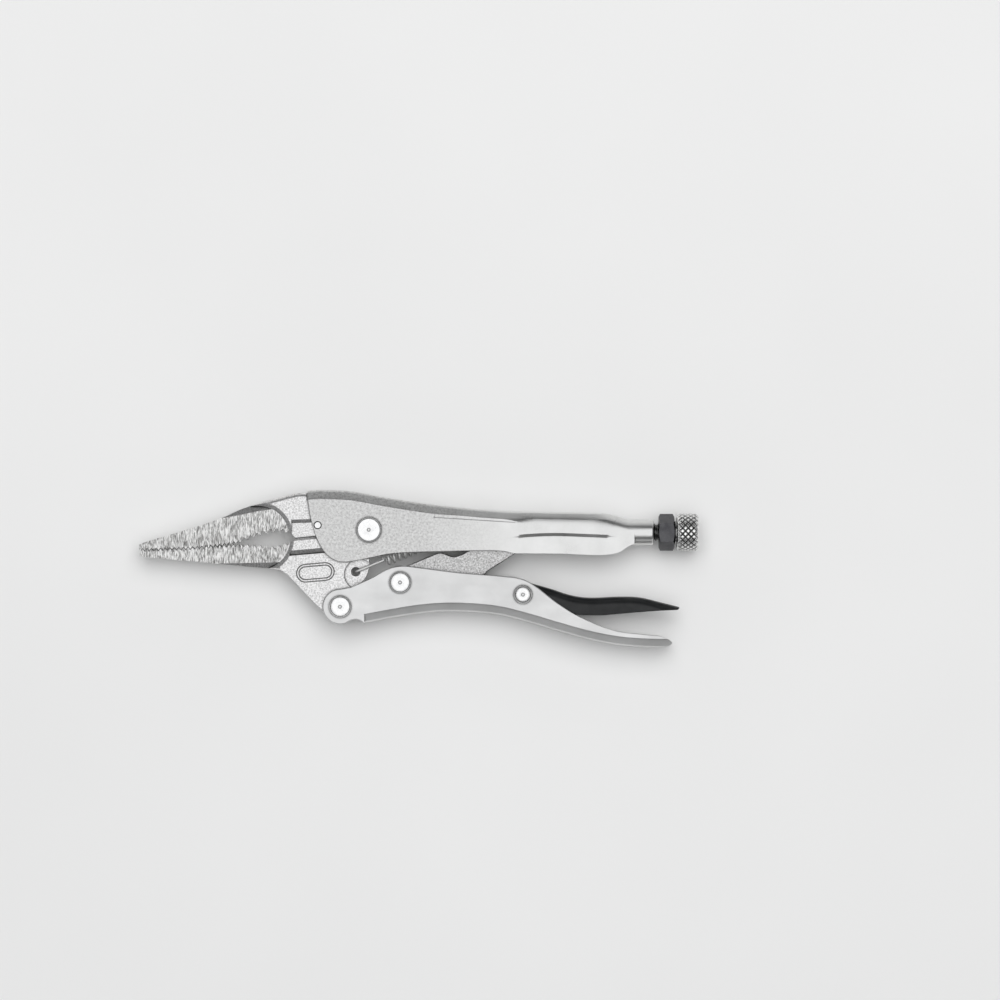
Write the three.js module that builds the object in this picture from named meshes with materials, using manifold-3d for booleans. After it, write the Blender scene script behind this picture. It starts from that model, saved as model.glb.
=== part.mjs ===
// Locking pliers, 6 inch long nose, lying on one side with the jaws closed and locked.
//
// Millimetres. X runs from the nose (-X) to the adjusting screw (+X), Y across the two
// handles and Z through the rivets. Every size below counts from the main pivot. The
// finished group is moved so that it lies on Z = 0 with its box centred on the Z axis.

import * as THREE from 'three';
import { mergeVertices } from 'three/addons/utils/BufferGeometryUtils.js';
import Module from 'manifold-3d';

const wasm = await Module();
wasm.setup();

// ---- Driving sizes ----

const NOSE_LENGTH = 64.8; // main pivot to the tip of the jaws
const HANDLE_LENGTH = 80.1; // main pivot to the mouth of the screw barrel
const LEVER_LENGTH = 85.4; // main pivot to the tail of the lever
const RELEASE_LENGTH = 87.4; // main pivot to the tail of the release lever

const JAW_THICKNESS = 6.6;
const TIP_THICKNESS = 3.8;
const NOSE_ROOT_THICKNESS = 5.8;
const JAW_EDGE_RADIUS = 1.4;
const TIP_EDGE_RADIUS = 0.6;
const SHEET = 1.5; // pressed sheet of handle and lever
const BEND_RADIUS = 2.2; // outside of the sheet's bends
const RELEASE_SHEET = 1.2;
const LINK_THICKNESS = 5.6;
const EAR_THICKNESS = 2.4;

const SIDE_PLAY = 0.2; // each side, between a piece and the walls it moves in
const FACE_PLAY = 0.1; // under rivet heads and between flat faces
const PIVOT_PLAY = 0.15; // radial, between a shank and its bore
const FIT_GAP = 0.3; // between faces cut to follow each other
const LINK_TO_SCREW = 1.3; // open pivot between the link's tip and the screw's end

const JAW_PIVOT = new THREE.Vector2(0, 0);
const LEVER_PIVOT = new THREE.Vector2(-8.06, -21.61);
const LINK_PIVOT = new THREE.Vector2(8.79, -14.79);
const RELEASE_PIVOT = new THREE.Vector2(43.3, -18.2);
const LOCATING_PIN = new THREE.Vector2(-14.4, 1.3);
const LINK_TIP = new THREE.Vector2(46.7, -0.76);

const HUB_RADIUS = 7.2; // lower jaw, round the main pivot
const ARM_END_RADIUS = 4.5; // lower jaw, round the lever's pivot
const LOBE_RADIUS = 4.9; // lever, round its pivot
const LINK_END_RADIUS = 4.6;
const RELEASE_HUB_RADIUS = 2.8;

const HEAD_HEIGHT = 1.25; // every rivet head, so that all four rest on one surface
const HEAD_FLAT_RADIUS = 1.2;
const RIVETS = {
  main: { shank: 2.5, head: 3.55 },
  lever: { shank: 2.1, head: 3.1 },
  link: { shank: 2.1, head: 3.05 },
  release: { shank: 1.7, head: 2.6 },
};
const PIN_RADIUS = 1.0;

const THREAD_RADIUS = 2.5;
const SPIGOT_RADIUS = 1.8; // the screw's end inside the knob
const SPIGOT_LENGTH = 3.6;
const BARREL_WALL = 1.1;
const BARREL_LENGTH = 7.4;
const STUB_LENGTH = 1.5; // bare thread between barrel and nut
const NUT_ACROSS_FLATS = 9.0;
const NUT_LENGTH = 4.4;
const NUT_CHAMFER = 0.6;
const NECK_RADIUS = 3.2;
const NECK_LENGTH = 0.5;
const KNOB_RADIUS = 5.25;
const KNOB_LENGTH = 6.3;
const KNOB_CORNER = 0.9;

const FINE_PITCH = 1.13;
const FINE_DEPTH = 0.5;
const COARSE_PITCH = 1.85;
const COARSE_DEPTH = 0.65;

const SPRING_HOLE = new THREE.Vector2(-3.8, -11.85);
const SPRING_HOLE_RADIUS = 1.35;
const SPRING_REAR = new THREE.Vector2(27.6, 0.95);
const WIRE_RADIUS = 0.33;
const COIL_RADIUS = 1.62; // to the wire's centre
const COIL_START = 8.4; // from the hole, along the spring
const COIL_LENGTH = 20.8;
const COIL_TURNS = 13;
const STEPS_PER_TURN = 8;
const HOOK_REACH = 1.1; // from the corner of a hook to the ends of its bend
const TAB_WIDTH = 4.4;
const TAB_HOLE_RADIUS = 0.85;

// ---- Sizes that follow ----

const CHANNEL_HALF = JAW_THICKNESS / 2 + SIDE_PLAY; // inside of handle and lever
const OUTER_HALF = CHANNEL_HALF + SHEET;
const BARREL_RADIUS = THREAD_RADIUS + BARREL_WALL;
const BARREL_START = HANDLE_LENGTH - BARREL_LENGTH;
const SCREW_Y = LINK_TIP.y;
const SCREW_TIP_X = LINK_TIP.x + LINK_TO_SCREW;
const NUT_X = HANDLE_LENGTH + STUB_LENGTH;
const NECK_X = NUT_X + NUT_LENGTH + FACE_PLAY;
const KNOB_X = NECK_X + NECK_LENGTH;
const SHOULDER_X = -24; // where the long nose leaves the body of the jaws
const LOWER_NOSE_END = -25; // where the lower jaw's arm turns down
const HANDLE_FRONT_X = -17.3;
const BEYOND = 6; // how far a cutting shape runs past what it cuts
const JOIN = 0.1; // how far two joined shapes run into each other
const WIDE_Y = 40; // clear of every outline
const FINEST_DETAIL = 0.02; // how far a surface may move when small faces are merged

// ---- Solids ----

// Turns a closed geometry into a solid, leaving out faces of no area
function solidFrom(geometry) {
  geometry.deleteAttribute('normal');
  geometry.deleteAttribute('uv');
  const merged = mergeVertices(geometry, 1e-4);
  const corners = merged.index.array;
  const faces = [];
  for (let i = 0; i < corners.length; i += 3) {
    const [a, b, c] = corners.slice(i, i + 3);
    if (a !== b && b !== c && c !== a) faces.push(a, b, c);
  }
  const vertProperties = new Float32Array(merged.attributes.position.array);
  const triVerts = new Uint32Array(faces);
  return new wasm.Manifold(new wasm.Mesh({ numProp: 3, vertProperties, triVerts }));
}

function geometryFrom(solid) {
  const mesh = solid.simplify(FINEST_DETAIL).getMesh();
  const geometry = new THREE.BufferGeometry();
  geometry.setAttribute('position', new THREE.BufferAttribute(mesh.vertProperties, 3));
  geometry.setIndex(new THREE.BufferAttribute(mesh.triVerts, 1));
  geometry.computeVertexNormals();
  return geometry;
}

function joined(...solids) {
  return solids.reduce((whole, solid) => whole.add(solid));
}

function plate(shape, halfThickness, curveSegments = 3) {
  const depth = 2 * halfThickness;
  const geometry = new THREE.ExtrudeGeometry(shape, { depth, bevelEnabled: false, curveSegments });
  return solidFrom(geometry.translate(0, 0, -halfThickness));
}

function block(low, high) {
  const size = new THREE.Vector3().subVectors(high, low);
  const middle = new THREE.Vector3().addVectors(high, low).multiplyScalar(0.5);
  const geometry = new THREE.BoxGeometry(size.x, size.y, size.z);
  return solidFrom(geometry.translate(middle.x, middle.y, middle.z));
}

// A cylinder through the tool, along Z
function bore(centre, radius, halfLength = OUTER_HALF + BEYOND, sides = 20) {
  const geometry = new THREE.CylinderGeometry(radius, radius, 2 * halfLength, sides);
  return solidFrom(geometry.rotateX(Math.PI / 2).translate(centre.x, centre.y, 0));
}

// A turned piece on the screw's axis, from a profile of [distance along X, radius]
function turnedOnScrew(profile, sides, firstCorner = 0) {
  const points = profile.map(([x, radius]) => new THREE.Vector2(radius, x));
  const geometry = new THREE.LatheGeometry(points, sides, firstCorner);
  return solidFrom(geometry.rotateZ(-Math.PI / 2).translate(0, SCREW_Y, 0));
}

function vectors(places) {
  return places.map(([x, y]) => new THREE.Vector2(x, y));
}

function spaced(from, to, count) {
  return Array.from({ length: count + 1 }, (_, i) => from + ((to - from) * i) / count);
}

// A smooth height over X, through a few places from -X to +X
function heightLine(places) {
  const samples = new THREE.SplineCurve(vectors(places)).getPoints(places.length * 12);
  return (x) => {
    const next = samples.findIndex((sample) => sample.x > x);
    if (next === -1) return samples.at(-1).y;
    if (next === 0) return samples[0].y;
    const before = samples[next - 1];
    const after = samples[next];
    return THREE.MathUtils.mapLinear(x, before.x, after.x, before.y, after.y);
  };
}

// A straight-sided bar along X. Its back follows a height line with both edges rounded,
// and its open side is cut off flat at the floor.
function archBar({ stations, back, floor, half, radius, arcSteps = 3 }) {
  const towardsFloor = Math.sign(floor - back(stations[0]));
  const rings = stations.map((x) => {
    const halfWidth = half(x);
    const round = Math.min(radius(x), halfWidth);
    const side = [[floor, halfWidth]];
    for (let i = 0; i <= arcSteps; i += 1) {
      const angle = ((Math.PI / 2) * i) / arcSteps;
      const y = back(x) + towardsFloor * round * (1 - Math.sin(angle));
      side.push([y, halfWidth - round * (1 - Math.cos(angle))]);
    }
    const near = side.map(([y, z]) => [x, y, -z]);
    const far = side.map(([y, z]) => [x, y, z]).reverse();
    const ring = [...near, ...far];
    return towardsFloor < 0 ? ring : ring.reverse();
  });
  return loft(rings);
}

// Joins convex rings of equal count, in order of X, and closes both ends
function loft(rings) {
  const count = rings[0].length;
  const last = (rings.length - 1) * count;
  const index = [];
  for (let ring = 0; ring < last; ring += count) {
    for (let i = 0; i < count; i += 1) {
      const a = ring + i;
      const b = ring + ((i + 1) % count);
      index.push(a, b, a + count, b, b + count, a + count);
    }
  }
  for (let i = 1; i < count - 1; i += 1) {
    index.push(0, i + 1, i, last, last + i, last + i + 1);
  }
  const geometry = new THREE.BufferGeometry();
  geometry.setAttribute('position', new THREE.Float32BufferAttribute(rings.flat(2), 3));
  geometry.setIndex(index);
  return solidFrom(geometry);
}

// ---- Lines that several pieces share ----

const handleBack = heightLine([
  [HANDLE_FRONT_X, 10.9],
  [-13.7, 11.2],
  [-5.2, 10.8],
  [3.2, 9.3],
  [14.4, 7.5],
  [25.6, 6.2],
  [36.9, 5.3],
  [HANDLE_LENGTH - 29.2, 4.9],
  [HANDLE_LENGTH - 15.2, 4.6],
  [HANDLE_LENGTH - 11, 4.0],
  [BARREL_START + 0.4, SCREW_Y + BARREL_RADIUS],
  [BARREL_START + 3, SCREW_Y + BARREL_RADIUS],
]);

// Full width in front, then drawn in to the barrel
function handleHalf(x) {
  const drawnIn = THREE.MathUtils.smoothstep(x, BARREL_START - 13, BARREL_START + 0.4);
  return THREE.MathUtils.lerp(OUTER_HALF, BARREL_RADIUS, drawnIn);
}

// Two folded edges in front, one round arch behind
function handleRound(x) {
  const arched = THREE.MathUtils.smoothstep(x, 37, 47);
  return THREE.MathUtils.lerp(BEND_RADIUS, handleHalf(x), arched);
}

function alongNose(share) {
  return THREE.MathUtils.lerp(SHOULDER_X, -NOSE_LENGTH, share);
}

// Both jaws' faces between the grip and the hub
const UPPER_PARTING = new THREE.Vector2(-20.8, -2.2);
const LOWER_PARTING = new THREE.Vector2(-20.8, UPPER_PARTING.y - FIT_GAP);
const PARTING_SLOPE = 0.093;

// Where a jaw's face along the parting line meets a circle round the main pivot
function partingAngle(radius, jawStart) {
  const height = jawStart.y - (radius + jawStart.x) * PARTING_SLOPE;
  return Math.PI + Math.asin(-height / radius);
}

// ---- Jaws ----

// Teeth along a mouth line up to its end: tips on the line, roots away from it by depth
function addTeeth(shape, line, pitch, depth) {
  const count = Math.round(line.getLength() / pitch);
  for (let i = 0; i < count; i += 1) {
    const tip = line.getPointAt(i / count);
    const root = line.getPointAt((i + 0.5) / count);
    shape.lineTo(tip.x, tip.y);
    shape.lineTo(root.x, root.y + depth);
  }
}

// What the grinding takes off both sides of a nose, up to a round shoulder
function noseGrinding(shoulderCentre, shoulderRadius) {
  const side = new THREE.Shape();
  side.absarc(shoulderCentre.x, shoulderCentre.y, shoulderRadius, -Math.PI / 2, Math.PI / 2);
  side.lineTo(-NOSE_LENGTH - BEYOND, shoulderCentre.y + shoulderRadius);
  side.lineTo(-NOSE_LENGTH - BEYOND, shoulderCentre.y - shoulderRadius);
  const front = -NOSE_LENGTH - BEYOND;
  const rear = shoulderCentre.x + shoulderRadius + BEYOND;
  const slope = (NOSE_ROOT_THICKNESS - TIP_THICKNESS) / 2 / (NOSE_LENGTH + SHOULDER_X);
  const halfAt = (x) => TIP_THICKNESS / 2 + (x + NOSE_LENGTH) * slope;
  const core = loft(
    [front, rear].map((x) => [
      [x, -WIDE_Y, -halfAt(x)],
      [x, WIDE_Y, -halfAt(x)],
      [x, WIDE_Y, halfAt(x)],
      [x, -WIDE_Y, halfAt(x)],
    ]),
  );
  return plate(side, JAW_THICKNESS, 8).subtract(core);
}

const upperMouth = new THREE.SplineCurve(
  vectors([
    [-NOSE_LENGTH + 0.3, -5.6],
    [alongNose(0.68), -4.6],
    [alongNose(0.46), -3.3],
    [alongNose(0.3), -2.6],
  ]),
);
const upperGrip = new THREE.SplineCurve(
  vectors([
    [alongNose(0.3), -2.6],
    [alongNose(0.2), -1.1],
    [alongNose(0.11), -0.1],
    [-25.4, 0.0],
    [-22.6, -0.6],
    [-21.5, -1.1],
  ]),
);
const lowerMouth = new THREE.SplineCurve(
  vectors([
    [-NOSE_LENGTH + 0.5, -6.0],
    [alongNose(0.68), -5.2],
    [alongNose(0.46), -4.4],
    [alongNose(0.3), -4.1],
  ]),
);
const lowerGrip = new THREE.SplineCurve(
  vectors([
    [alongNose(0.3), -4.1],
    [alongNose(0.19), -4.3],
    [alongNose(0.09), -4.7],
    [-26.0, -4.6],
    [-23.6, -3.8],
    [-22.0, -3.3],
  ]),
);

// The rounding of a nose's back, nearly sharp towards the tip
function noseEdge(x) {
  const rounded = THREE.MathUtils.smoothstep(x, alongNose(0.55), alongNose(0.3));
  return THREE.MathUtils.lerp(TIP_EDGE_RADIUS, JAW_EDGE_RADIUS, rounded);
}

const upperNoseBack = heightLine([
  [-NOSE_LENGTH, -4.1],
  [alongNose(0.92), -3.0],
  [alongNose(0.64), 0.4],
  [alongNose(0.43), 3.3],
  [alongNose(0.3), 5.7],
  [alongNose(0.17), 7.5],
  [-27.7, 8.4],
  [-22.1, 9.9],
  [-19.3, 10.4],
  [HANDLE_FRONT_X, 10.3],
]);

function upperJaw() {
  const hollow = HUB_RADIUS + FIT_GAP;
  const tangEnd = THREE.MathUtils.degToRad(102);
  const side = new THREE.Shape();
  side.moveTo(-NOSE_LENGTH, WIDE_Y);
  side.lineTo(-NOSE_LENGTH, -4.9);
  addTeeth(side, upperMouth, FINE_PITCH, FINE_DEPTH);
  addTeeth(side, upperGrip, COARSE_PITCH, COARSE_DEPTH);
  side.lineTo(UPPER_PARTING.x, UPPER_PARTING.y);
  side.absarc(0, 0, hollow, partingAngle(hollow, UPPER_PARTING), tangEnd, true);
  side.lineTo(hollow * Math.cos(tangEnd), WIDE_Y);

  const shoulder = HANDLE_FRONT_X - FIT_GAP;
  const nose = archBar({
    stations: spaced(-NOSE_LENGTH, shoulder, 16),
    back: upperNoseBack,
    floor: -WIDE_Y,
    half: () => JAW_THICKNESS / 2,
    radius: noseEdge,
  });
  const tang = archBar({
    stations: spaced(shoulder - 1, BEYOND, 8),
    back: (x) => handleBack(x) - SHEET - SIDE_PLAY,
    floor: -WIDE_Y,
    half: () => JAW_THICKNESS / 2,
    radius: () => JAW_EDGE_RADIUS,
  });
  return joined(nose, tang)
    .intersect(plate(side, JAW_THICKNESS, 4))
    .subtract(noseGrinding(new THREE.Vector2(-31.2, -2.0), 9.9))
    .subtract(bore(LOCATING_PIN, PIN_RADIUS + PIVOT_PLAY, undefined, 12));
}

const lowerNoseBack = heightLine([
  [-NOSE_LENGTH, -7.4],
  [alongNose(0.92), -7.9],
  [alongNose(0.64), -8.9],
  [alongNose(0.3), -10.2],
  [-27.7, -11.0],
  [-25.2, -11.4],
]);

function lowerJaw() {
  const side = new THREE.Shape();
  side.moveTo(-NOSE_LENGTH + 0.1, -WIDE_Y);
  side.lineTo(-NOSE_LENGTH + 0.1, -6.6);
  addTeeth(side, lowerMouth, FINE_PITCH, -FINE_DEPTH);
  addTeeth(side, lowerGrip, COARSE_PITCH, -COARSE_DEPTH);
  side.lineTo(LOWER_PARTING.x, LOWER_PARTING.y);
  const hubEnd = THREE.MathUtils.degToRad(-50);
  side.absarc(0, 0, HUB_RADIUS, partingAngle(HUB_RADIUS, LOWER_PARTING), hubEnd, true);
  side.lineTo(0.1, -8.0);
  side.splineThru(vectors([[-0.3, -11.4], [-1.3, -13.8], [-3.0, -15.3], [-5.0, -16.2]]));
  side.lineTo(LEVER_PIVOT.x + ARM_END_RADIUS, LEVER_PIVOT.y + 2.2);
  side.absarc(LEVER_PIVOT.x, LEVER_PIVOT.y, ARM_END_RADIUS, 0, Math.PI + 0.55, true);
  side.lineTo(-15.9, -20.1);
  side.splineThru(vectors([[-18.2, -17.7], [-20.6, -15.1], [-23.2, -12.5]]));
  side.quadraticCurveTo(-24.4, -11.6, LOWER_NOSE_END - 2 * JOIN, -11.35);
  side.lineTo(LOWER_NOSE_END - 2 * JOIN, -WIDE_Y);

  const nose = archBar({
    stations: spaced(-NOSE_LENGTH, LOWER_NOSE_END, 12),
    back: lowerNoseBack,
    floor: WIDE_Y,
    half: () => JAW_THICKNESS / 2,
    radius: noseEdge,
  });
  const body = block(
    new THREE.Vector3(LOWER_NOSE_END - JOIN, -WIDE_Y, -JAW_THICKNESS / 2),
    new THREE.Vector3(HUB_RADIUS + 1, WIDE_Y, JAW_THICKNESS / 2),
  );
  const spotFace = new THREE.Shape();
  spotFace.absarc(-2.7, -12.6, 4.4, 0, 2 * Math.PI);
  const earSides = plate(spotFace, JAW_THICKNESS, 10).subtract(plate(spotFace, EAR_THICKNESS / 2, 10));
  return joined(nose, body)
    .intersect(plate(side, JAW_THICKNESS / 2, 4))
    .subtract(noseGrinding(new THREE.Vector2(-31.2, -2.4), 10.2))
    .subtract(earSides)
    .subtract(bore(SPRING_HOLE, SPRING_HOLE_RADIUS, undefined, 12))
    .subtract(bore(JAW_PIVOT, RIVETS.main.shank + PIVOT_PLAY))
    .subtract(bore(LEVER_PIVOT, RIVETS.lever.shank + PIVOT_PLAY));
}

// ---- Upper handle ----

// A tongue cut from the back of the handle and bent in, with a hole for the spring
function springTab() {
  const low = new THREE.Vector3(SPRING_REAR.x, SPRING_REAR.y - 2, -TAB_WIDTH / 2);
  const top = handleBack(SPRING_REAR.x) - SHEET / 2;
  const high = new THREE.Vector3(SPRING_REAR.x + SHEET, top, TAB_WIDTH / 2);
  const hole = new THREE.CylinderGeometry(TAB_HOLE_RADIUS, TAB_HOLE_RADIUS, BEYOND, 12);
  hole.rotateZ(Math.PI / 2).translate(SPRING_REAR.x, SPRING_REAR.y, 0);
  return block(low, high).subtract(solidFrom(hole));
}

// The window that the tongue leaves in the handle's back
function tabWindow() {
  const start = SPRING_REAR.x + SHEET;
  const length = handleBack(start) - SPRING_REAR.y + 2;
  const side = OUTER_HALF - BEND_RADIUS - 0.1;
  const half = Math.min(TAB_WIDTH / 2, side);
  return block(
    new THREE.Vector3(start, SPRING_REAR.y + 2, -half),
    new THREE.Vector3(start + length, handleBack(start) + BEYOND, half),
  );
}

function upperHandle() {
  const side = new THREE.Shape();
  side.moveTo(HANDLE_FRONT_X, WIDE_Y);
  side.lineTo(HANDLE_FRONT_X, 9.0);
  side.splineThru(
    vectors([
      [-17.0, 6.5],
      [-16.3, 2.8],
      [-15.0, -1.7],
      [-13.0, -5.6],
      [-10.3, -8.2],
      [-6.7, -9.1],
      [-0.5, -8.1],
      [6.0, -6.8],
      [14.4, -6.3],
      [34.0, -5.9],
      [41.0, -6.6],
    ]),
  );
  side.lineTo(HANDLE_LENGTH - 26, -6.7);
  side.splineThru(
    vectors([
      [HANDLE_LENGTH - 15.2, -7.1],
      [HANDLE_LENGTH - 10.2, -6.5],
      [BARREL_START, SCREW_Y - BARREL_RADIUS - 0.5],
      [BARREL_START + 2, SCREW_Y - BARREL_RADIUS + 0.5],
    ]),
  );
  side.lineTo(BARREL_START + 2, WIDE_Y);

  const shell = archBar({
    stations: [...spaced(HANDLE_FRONT_X, 34, 9), ...spaced(38, BARREL_START + 2, 11)],
    back: handleBack,
    floor: -WIDE_Y,
    half: handleHalf,
    radius: handleRound,
  });
  const hollow = archBar({
    stations: [HANDLE_FRONT_X - BEYOND, ...spaced(-15, 34, 8), ...spaced(38, BARREL_START, 10)],
    back: (x) => handleBack(x) - SHEET,
    floor: -WIDE_Y - BEYOND,
    half: (x) => handleHalf(x) - SHEET,
    radius: (x) => handleRound(x) - SHEET,
  });
  const barrel = turnedOnScrew(
    [
      [BARREL_START - 1, 0],
      [BARREL_START - 1, BARREL_RADIUS],
      [HANDLE_LENGTH - 0.3, BARREL_RADIUS],
      [HANDLE_LENGTH, BARREL_RADIUS - 0.3],
      [HANDLE_LENGTH, 0],
    ],
    28,
  );
  const screwBore = turnedOnScrew(
    [
      [BARREL_START - BEYOND, 0],
      [BARREL_START - BEYOND, THREAD_RADIUS + PIVOT_PLAY],
      [HANDLE_LENGTH + BEYOND, THREAD_RADIUS + PIVOT_PLAY],
      [HANDLE_LENGTH + BEYOND, 0],
    ],
    28,
  );
  return joined(shell.subtract(hollow).intersect(plate(side, OUTER_HALF)), barrel)
    .subtract(tabWindow())
    .add(springTab())
    .subtract(screwBore)
    .subtract(bore(JAW_PIVOT, RIVETS.main.shank + PIVOT_PLAY))
    .subtract(bore(LOCATING_PIN, PIN_RADIUS + PIVOT_PLAY, undefined, 12));
}

// ---- Lever ----

const WEB_START_X = -1.3; // where the lever's folded back begins

const leverBack = heightLine([
  [WEB_START_X, -26.2],
  [11.6, -23.9],
  [20.0, -23.05],
  [28.0, -23.1],
  [36.9, -24.0],
  [45.3, -26.1],
  [53.7, -28.6],
  [LEVER_LENGTH - 23.3, -30.9],
  [LEVER_LENGTH - 14.9, -32.5],
  [LEVER_LENGTH - 6.4, -33.15],
  [LEVER_LENGTH, -33.15],
]);

function leverHalf(x) {
  return OUTER_HALF - 0.6 * THREE.MathUtils.smoothstep(x, 50, LEVER_LENGTH);
}

function lever() {
  const side = new THREE.Shape();
  side.moveTo(WEB_START_X, -WIDE_Y);
  side.lineTo(LEVER_LENGTH - 4, -WIDE_Y);
  side.lineTo(LEVER_LENGTH - 4, -33.2);
  side.splineThru(
    vectors([
      [LEVER_LENGTH - 1.6, -32.9],
      [LEVER_LENGTH - 0.1, -31.9],
      [LEVER_LENGTH - 1.4, -30.8],
      [LEVER_LENGTH - 3.6, -30.0],
    ]),
  );
  side.splineThru(
    vectors([
      [LEVER_LENGTH - 9, -29.5],
      [LEVER_LENGTH - 14.9, -28.8],
      [64.9, -27.1],
      [57.9, -23.8],
      [52.3, -20.1],
      [46.9, -15.9],
      [42.7, -13.8],
      [36.9, -13.0],
      [25.6, -12.1],
      [14.4, -10.7],
      [9.3, -10.2],
      [5.2, -11.1],
      [0.4, -13.7],
      [-5.2, -16.2],
    ]),
  );
  side.lineTo(LEVER_PIVOT.x, LEVER_PIVOT.y + LOBE_RADIUS);
  side.absarc(LEVER_PIVOT.x, LEVER_PIVOT.y, LOBE_RADIUS, Math.PI / 2, 1.6 * Math.PI);
  side.splineThru(vectors([[-5.2, -25.5], [-3.6, -25.2], [-2.2, -25.6], [WEB_START_X, -26.6]]));

  const stations = [...spaced(WEB_START_X - JOIN, 58, 12), ...spaced(62, LEVER_LENGTH, 6)];
  const shell = archBar({
    stations,
    back: leverBack,
    floor: WIDE_Y,
    half: leverHalf,
    radius: () => BEND_RADIUS,
  });
  const hollow = archBar({
    stations: [WEB_START_X - BEYOND, ...stations, LEVER_LENGTH + BEYOND],
    back: (x) => leverBack(x) + SHEET,
    floor: WIDE_Y + BEYOND,
    half: (x) => leverHalf(x) - SHEET,
    radius: () => BEND_RADIUS - SHEET,
  });
  const cheeks = block(
    new THREE.Vector3(LEVER_PIVOT.x - BEYOND, -WIDE_Y, -OUTER_HALF),
    new THREE.Vector3(WEB_START_X - JOIN / 2, WIDE_Y, OUTER_HALF),
  );
  const betweenCheeks = block(
    new THREE.Vector3(LEVER_PIVOT.x - 2 * BEYOND, -WIDE_Y - BEYOND, -CHANNEL_HALF),
    new THREE.Vector3(WEB_START_X - JOIN / 2, WIDE_Y, CHANNEL_HALF),
  );
  let whole = joined(shell, cheeks).intersect(plate(side, OUTER_HALF, 4));
  whole = whole.subtract(hollow).subtract(betweenCheeks);
  whole = whole.subtract(bore(LEVER_PIVOT, RIVETS.lever.shank + PIVOT_PLAY));
  whole = whole.subtract(bore(LINK_PIVOT, RIVETS.link.shank + PIVOT_PLAY));
  return whole.subtract(bore(RELEASE_PIVOT, RIVETS.release.shank + PIVOT_PLAY));
}

// ---- Release lever ----

const releaseBack = heightLine([
  [32.6, -14.3],
  [38.0, -14.9],
  [43.0, -14.6],
  [50.9, -16.6],
  [56.5, -18.4],
  [62.1, -19.2],
  [RELEASE_LENGTH - 17, -18.9],
  [RELEASE_LENGTH - 11.2, -19.1],
  [RELEASE_LENGTH - 5.6, -20.4],
  [RELEASE_LENGTH, -21.8],
]);

function releaseLever() {
  const half = CHANNEL_HALF - SIDE_PLAY;
  const side = new THREE.Shape();
  side.moveTo(33.0, WIDE_Y);
  side.lineTo(33.0, -15.6);
  side.splineThru(vectors([[34.2, -16.6], [37.5, -17.6], [40.6, -18.6]]));
  side.absarc(RELEASE_PIVOT.x, RELEASE_PIVOT.y, RELEASE_HUB_RADIUS, Math.PI * 1.06, Math.PI * 1.6);
  side.splineThru(
    vectors([
      [50.5, -22.2],
      [57.5, -23.8],
      [64.9, -24.1],
      [RELEASE_LENGTH - 17, -23.7],
      [RELEASE_LENGTH - 7, -22.9],
      [RELEASE_LENGTH - 0.6, -22.6],
    ]),
  );
  side.lineTo(RELEASE_LENGTH, -22.2);
  side.lineTo(RELEASE_LENGTH, WIDE_Y);
  const whole = archBar({
    stations: [...spaced(32.6, 44.6, 4), ...spaced(47, RELEASE_LENGTH, 12)],
    back: releaseBack,
    floor: -WIDE_Y,
    half: () => half,
    radius: () => BEND_RADIUS,
  });
  const hollow = archBar({
    stations: spaced(RELEASE_PIVOT.x + RELEASE_HUB_RADIUS + 1, RELEASE_LENGTH - 8, 8),
    back: (x) => releaseBack(x) - RELEASE_SHEET,
    floor: -WIDE_Y - BEYOND,
    half: () => half - RELEASE_SHEET,
    radius: () => BEND_RADIUS - RELEASE_SHEET,
  });
  return whole
    .intersect(plate(side, half + 1))
    .subtract(hollow)
    .subtract(bore(RELEASE_PIVOT, RIVETS.release.shank + PIVOT_PLAY));
}

// ---- Toggle link ----

function toggleLink() {
  const side = new THREE.Shape();
  side.absarc(LINK_PIVOT.x, LINK_PIVOT.y, LINK_END_RADIUS, Math.PI / 2 - 0.3, 1.56 * Math.PI);
  side.lineTo(31.4, -13.1);
  side.quadraticCurveTo(32.6, -12.9, 33.2, -11.8);
  side.lineTo(41.1, -6.8);
  side.lineTo(45.2, -3.6);
  side.quadraticCurveTo(LINK_TIP.x, -2.4, LINK_TIP.x, LINK_TIP.y);
  side.quadraticCurveTo(LINK_TIP.x, 1.0, LINK_TIP.x - 2.2, 1.2);
  side.lineTo(28.2, -5.7);
  side.splineThru(vectors([[26.2, -6.9], [23.7, -7.6], [21.6, -6.9], [20.0, -6.5], [18.4, -6.9]]));
  const rivetBore = bore(LINK_PIVOT, RIVETS.link.shank + PIVOT_PLAY);
  return plate(side, LINK_THICKNESS / 2, 6).subtract(rivetBore);
}

// ---- Rivets and pin ----

// Right through, with a low dome on both sides
function rivet(centre, { shank, head }) {
  const seat = OUTER_HALF + FACE_PLAY;
  const crown = seat + HEAD_HEIGHT;
  const dome = [
    [HEAD_FLAT_RADIUS, crown],
    [head * 0.62, crown - 0.16],
    [head * 0.86, crown - 0.5],
    [head, crown - 0.92],
    [head, seat],
    [shank, seat],
  ];
  const upper = dome.map(([radius, z]) => new THREE.Vector2(radius, z));
  const lower = dome.map(([radius, z]) => new THREE.Vector2(radius, -z)).reverse();
  const profile = [new THREE.Vector2(0, -crown), ...lower.reverse(), ...upper.reverse()];
  profile.push(new THREE.Vector2(0, crown));
  const geometry = new THREE.LatheGeometry(profile, 18);
  return solidFrom(geometry.rotateX(Math.PI / 2).translate(centre.x, centre.y, 0));
}

// ---- Adjusting screw ----

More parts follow.
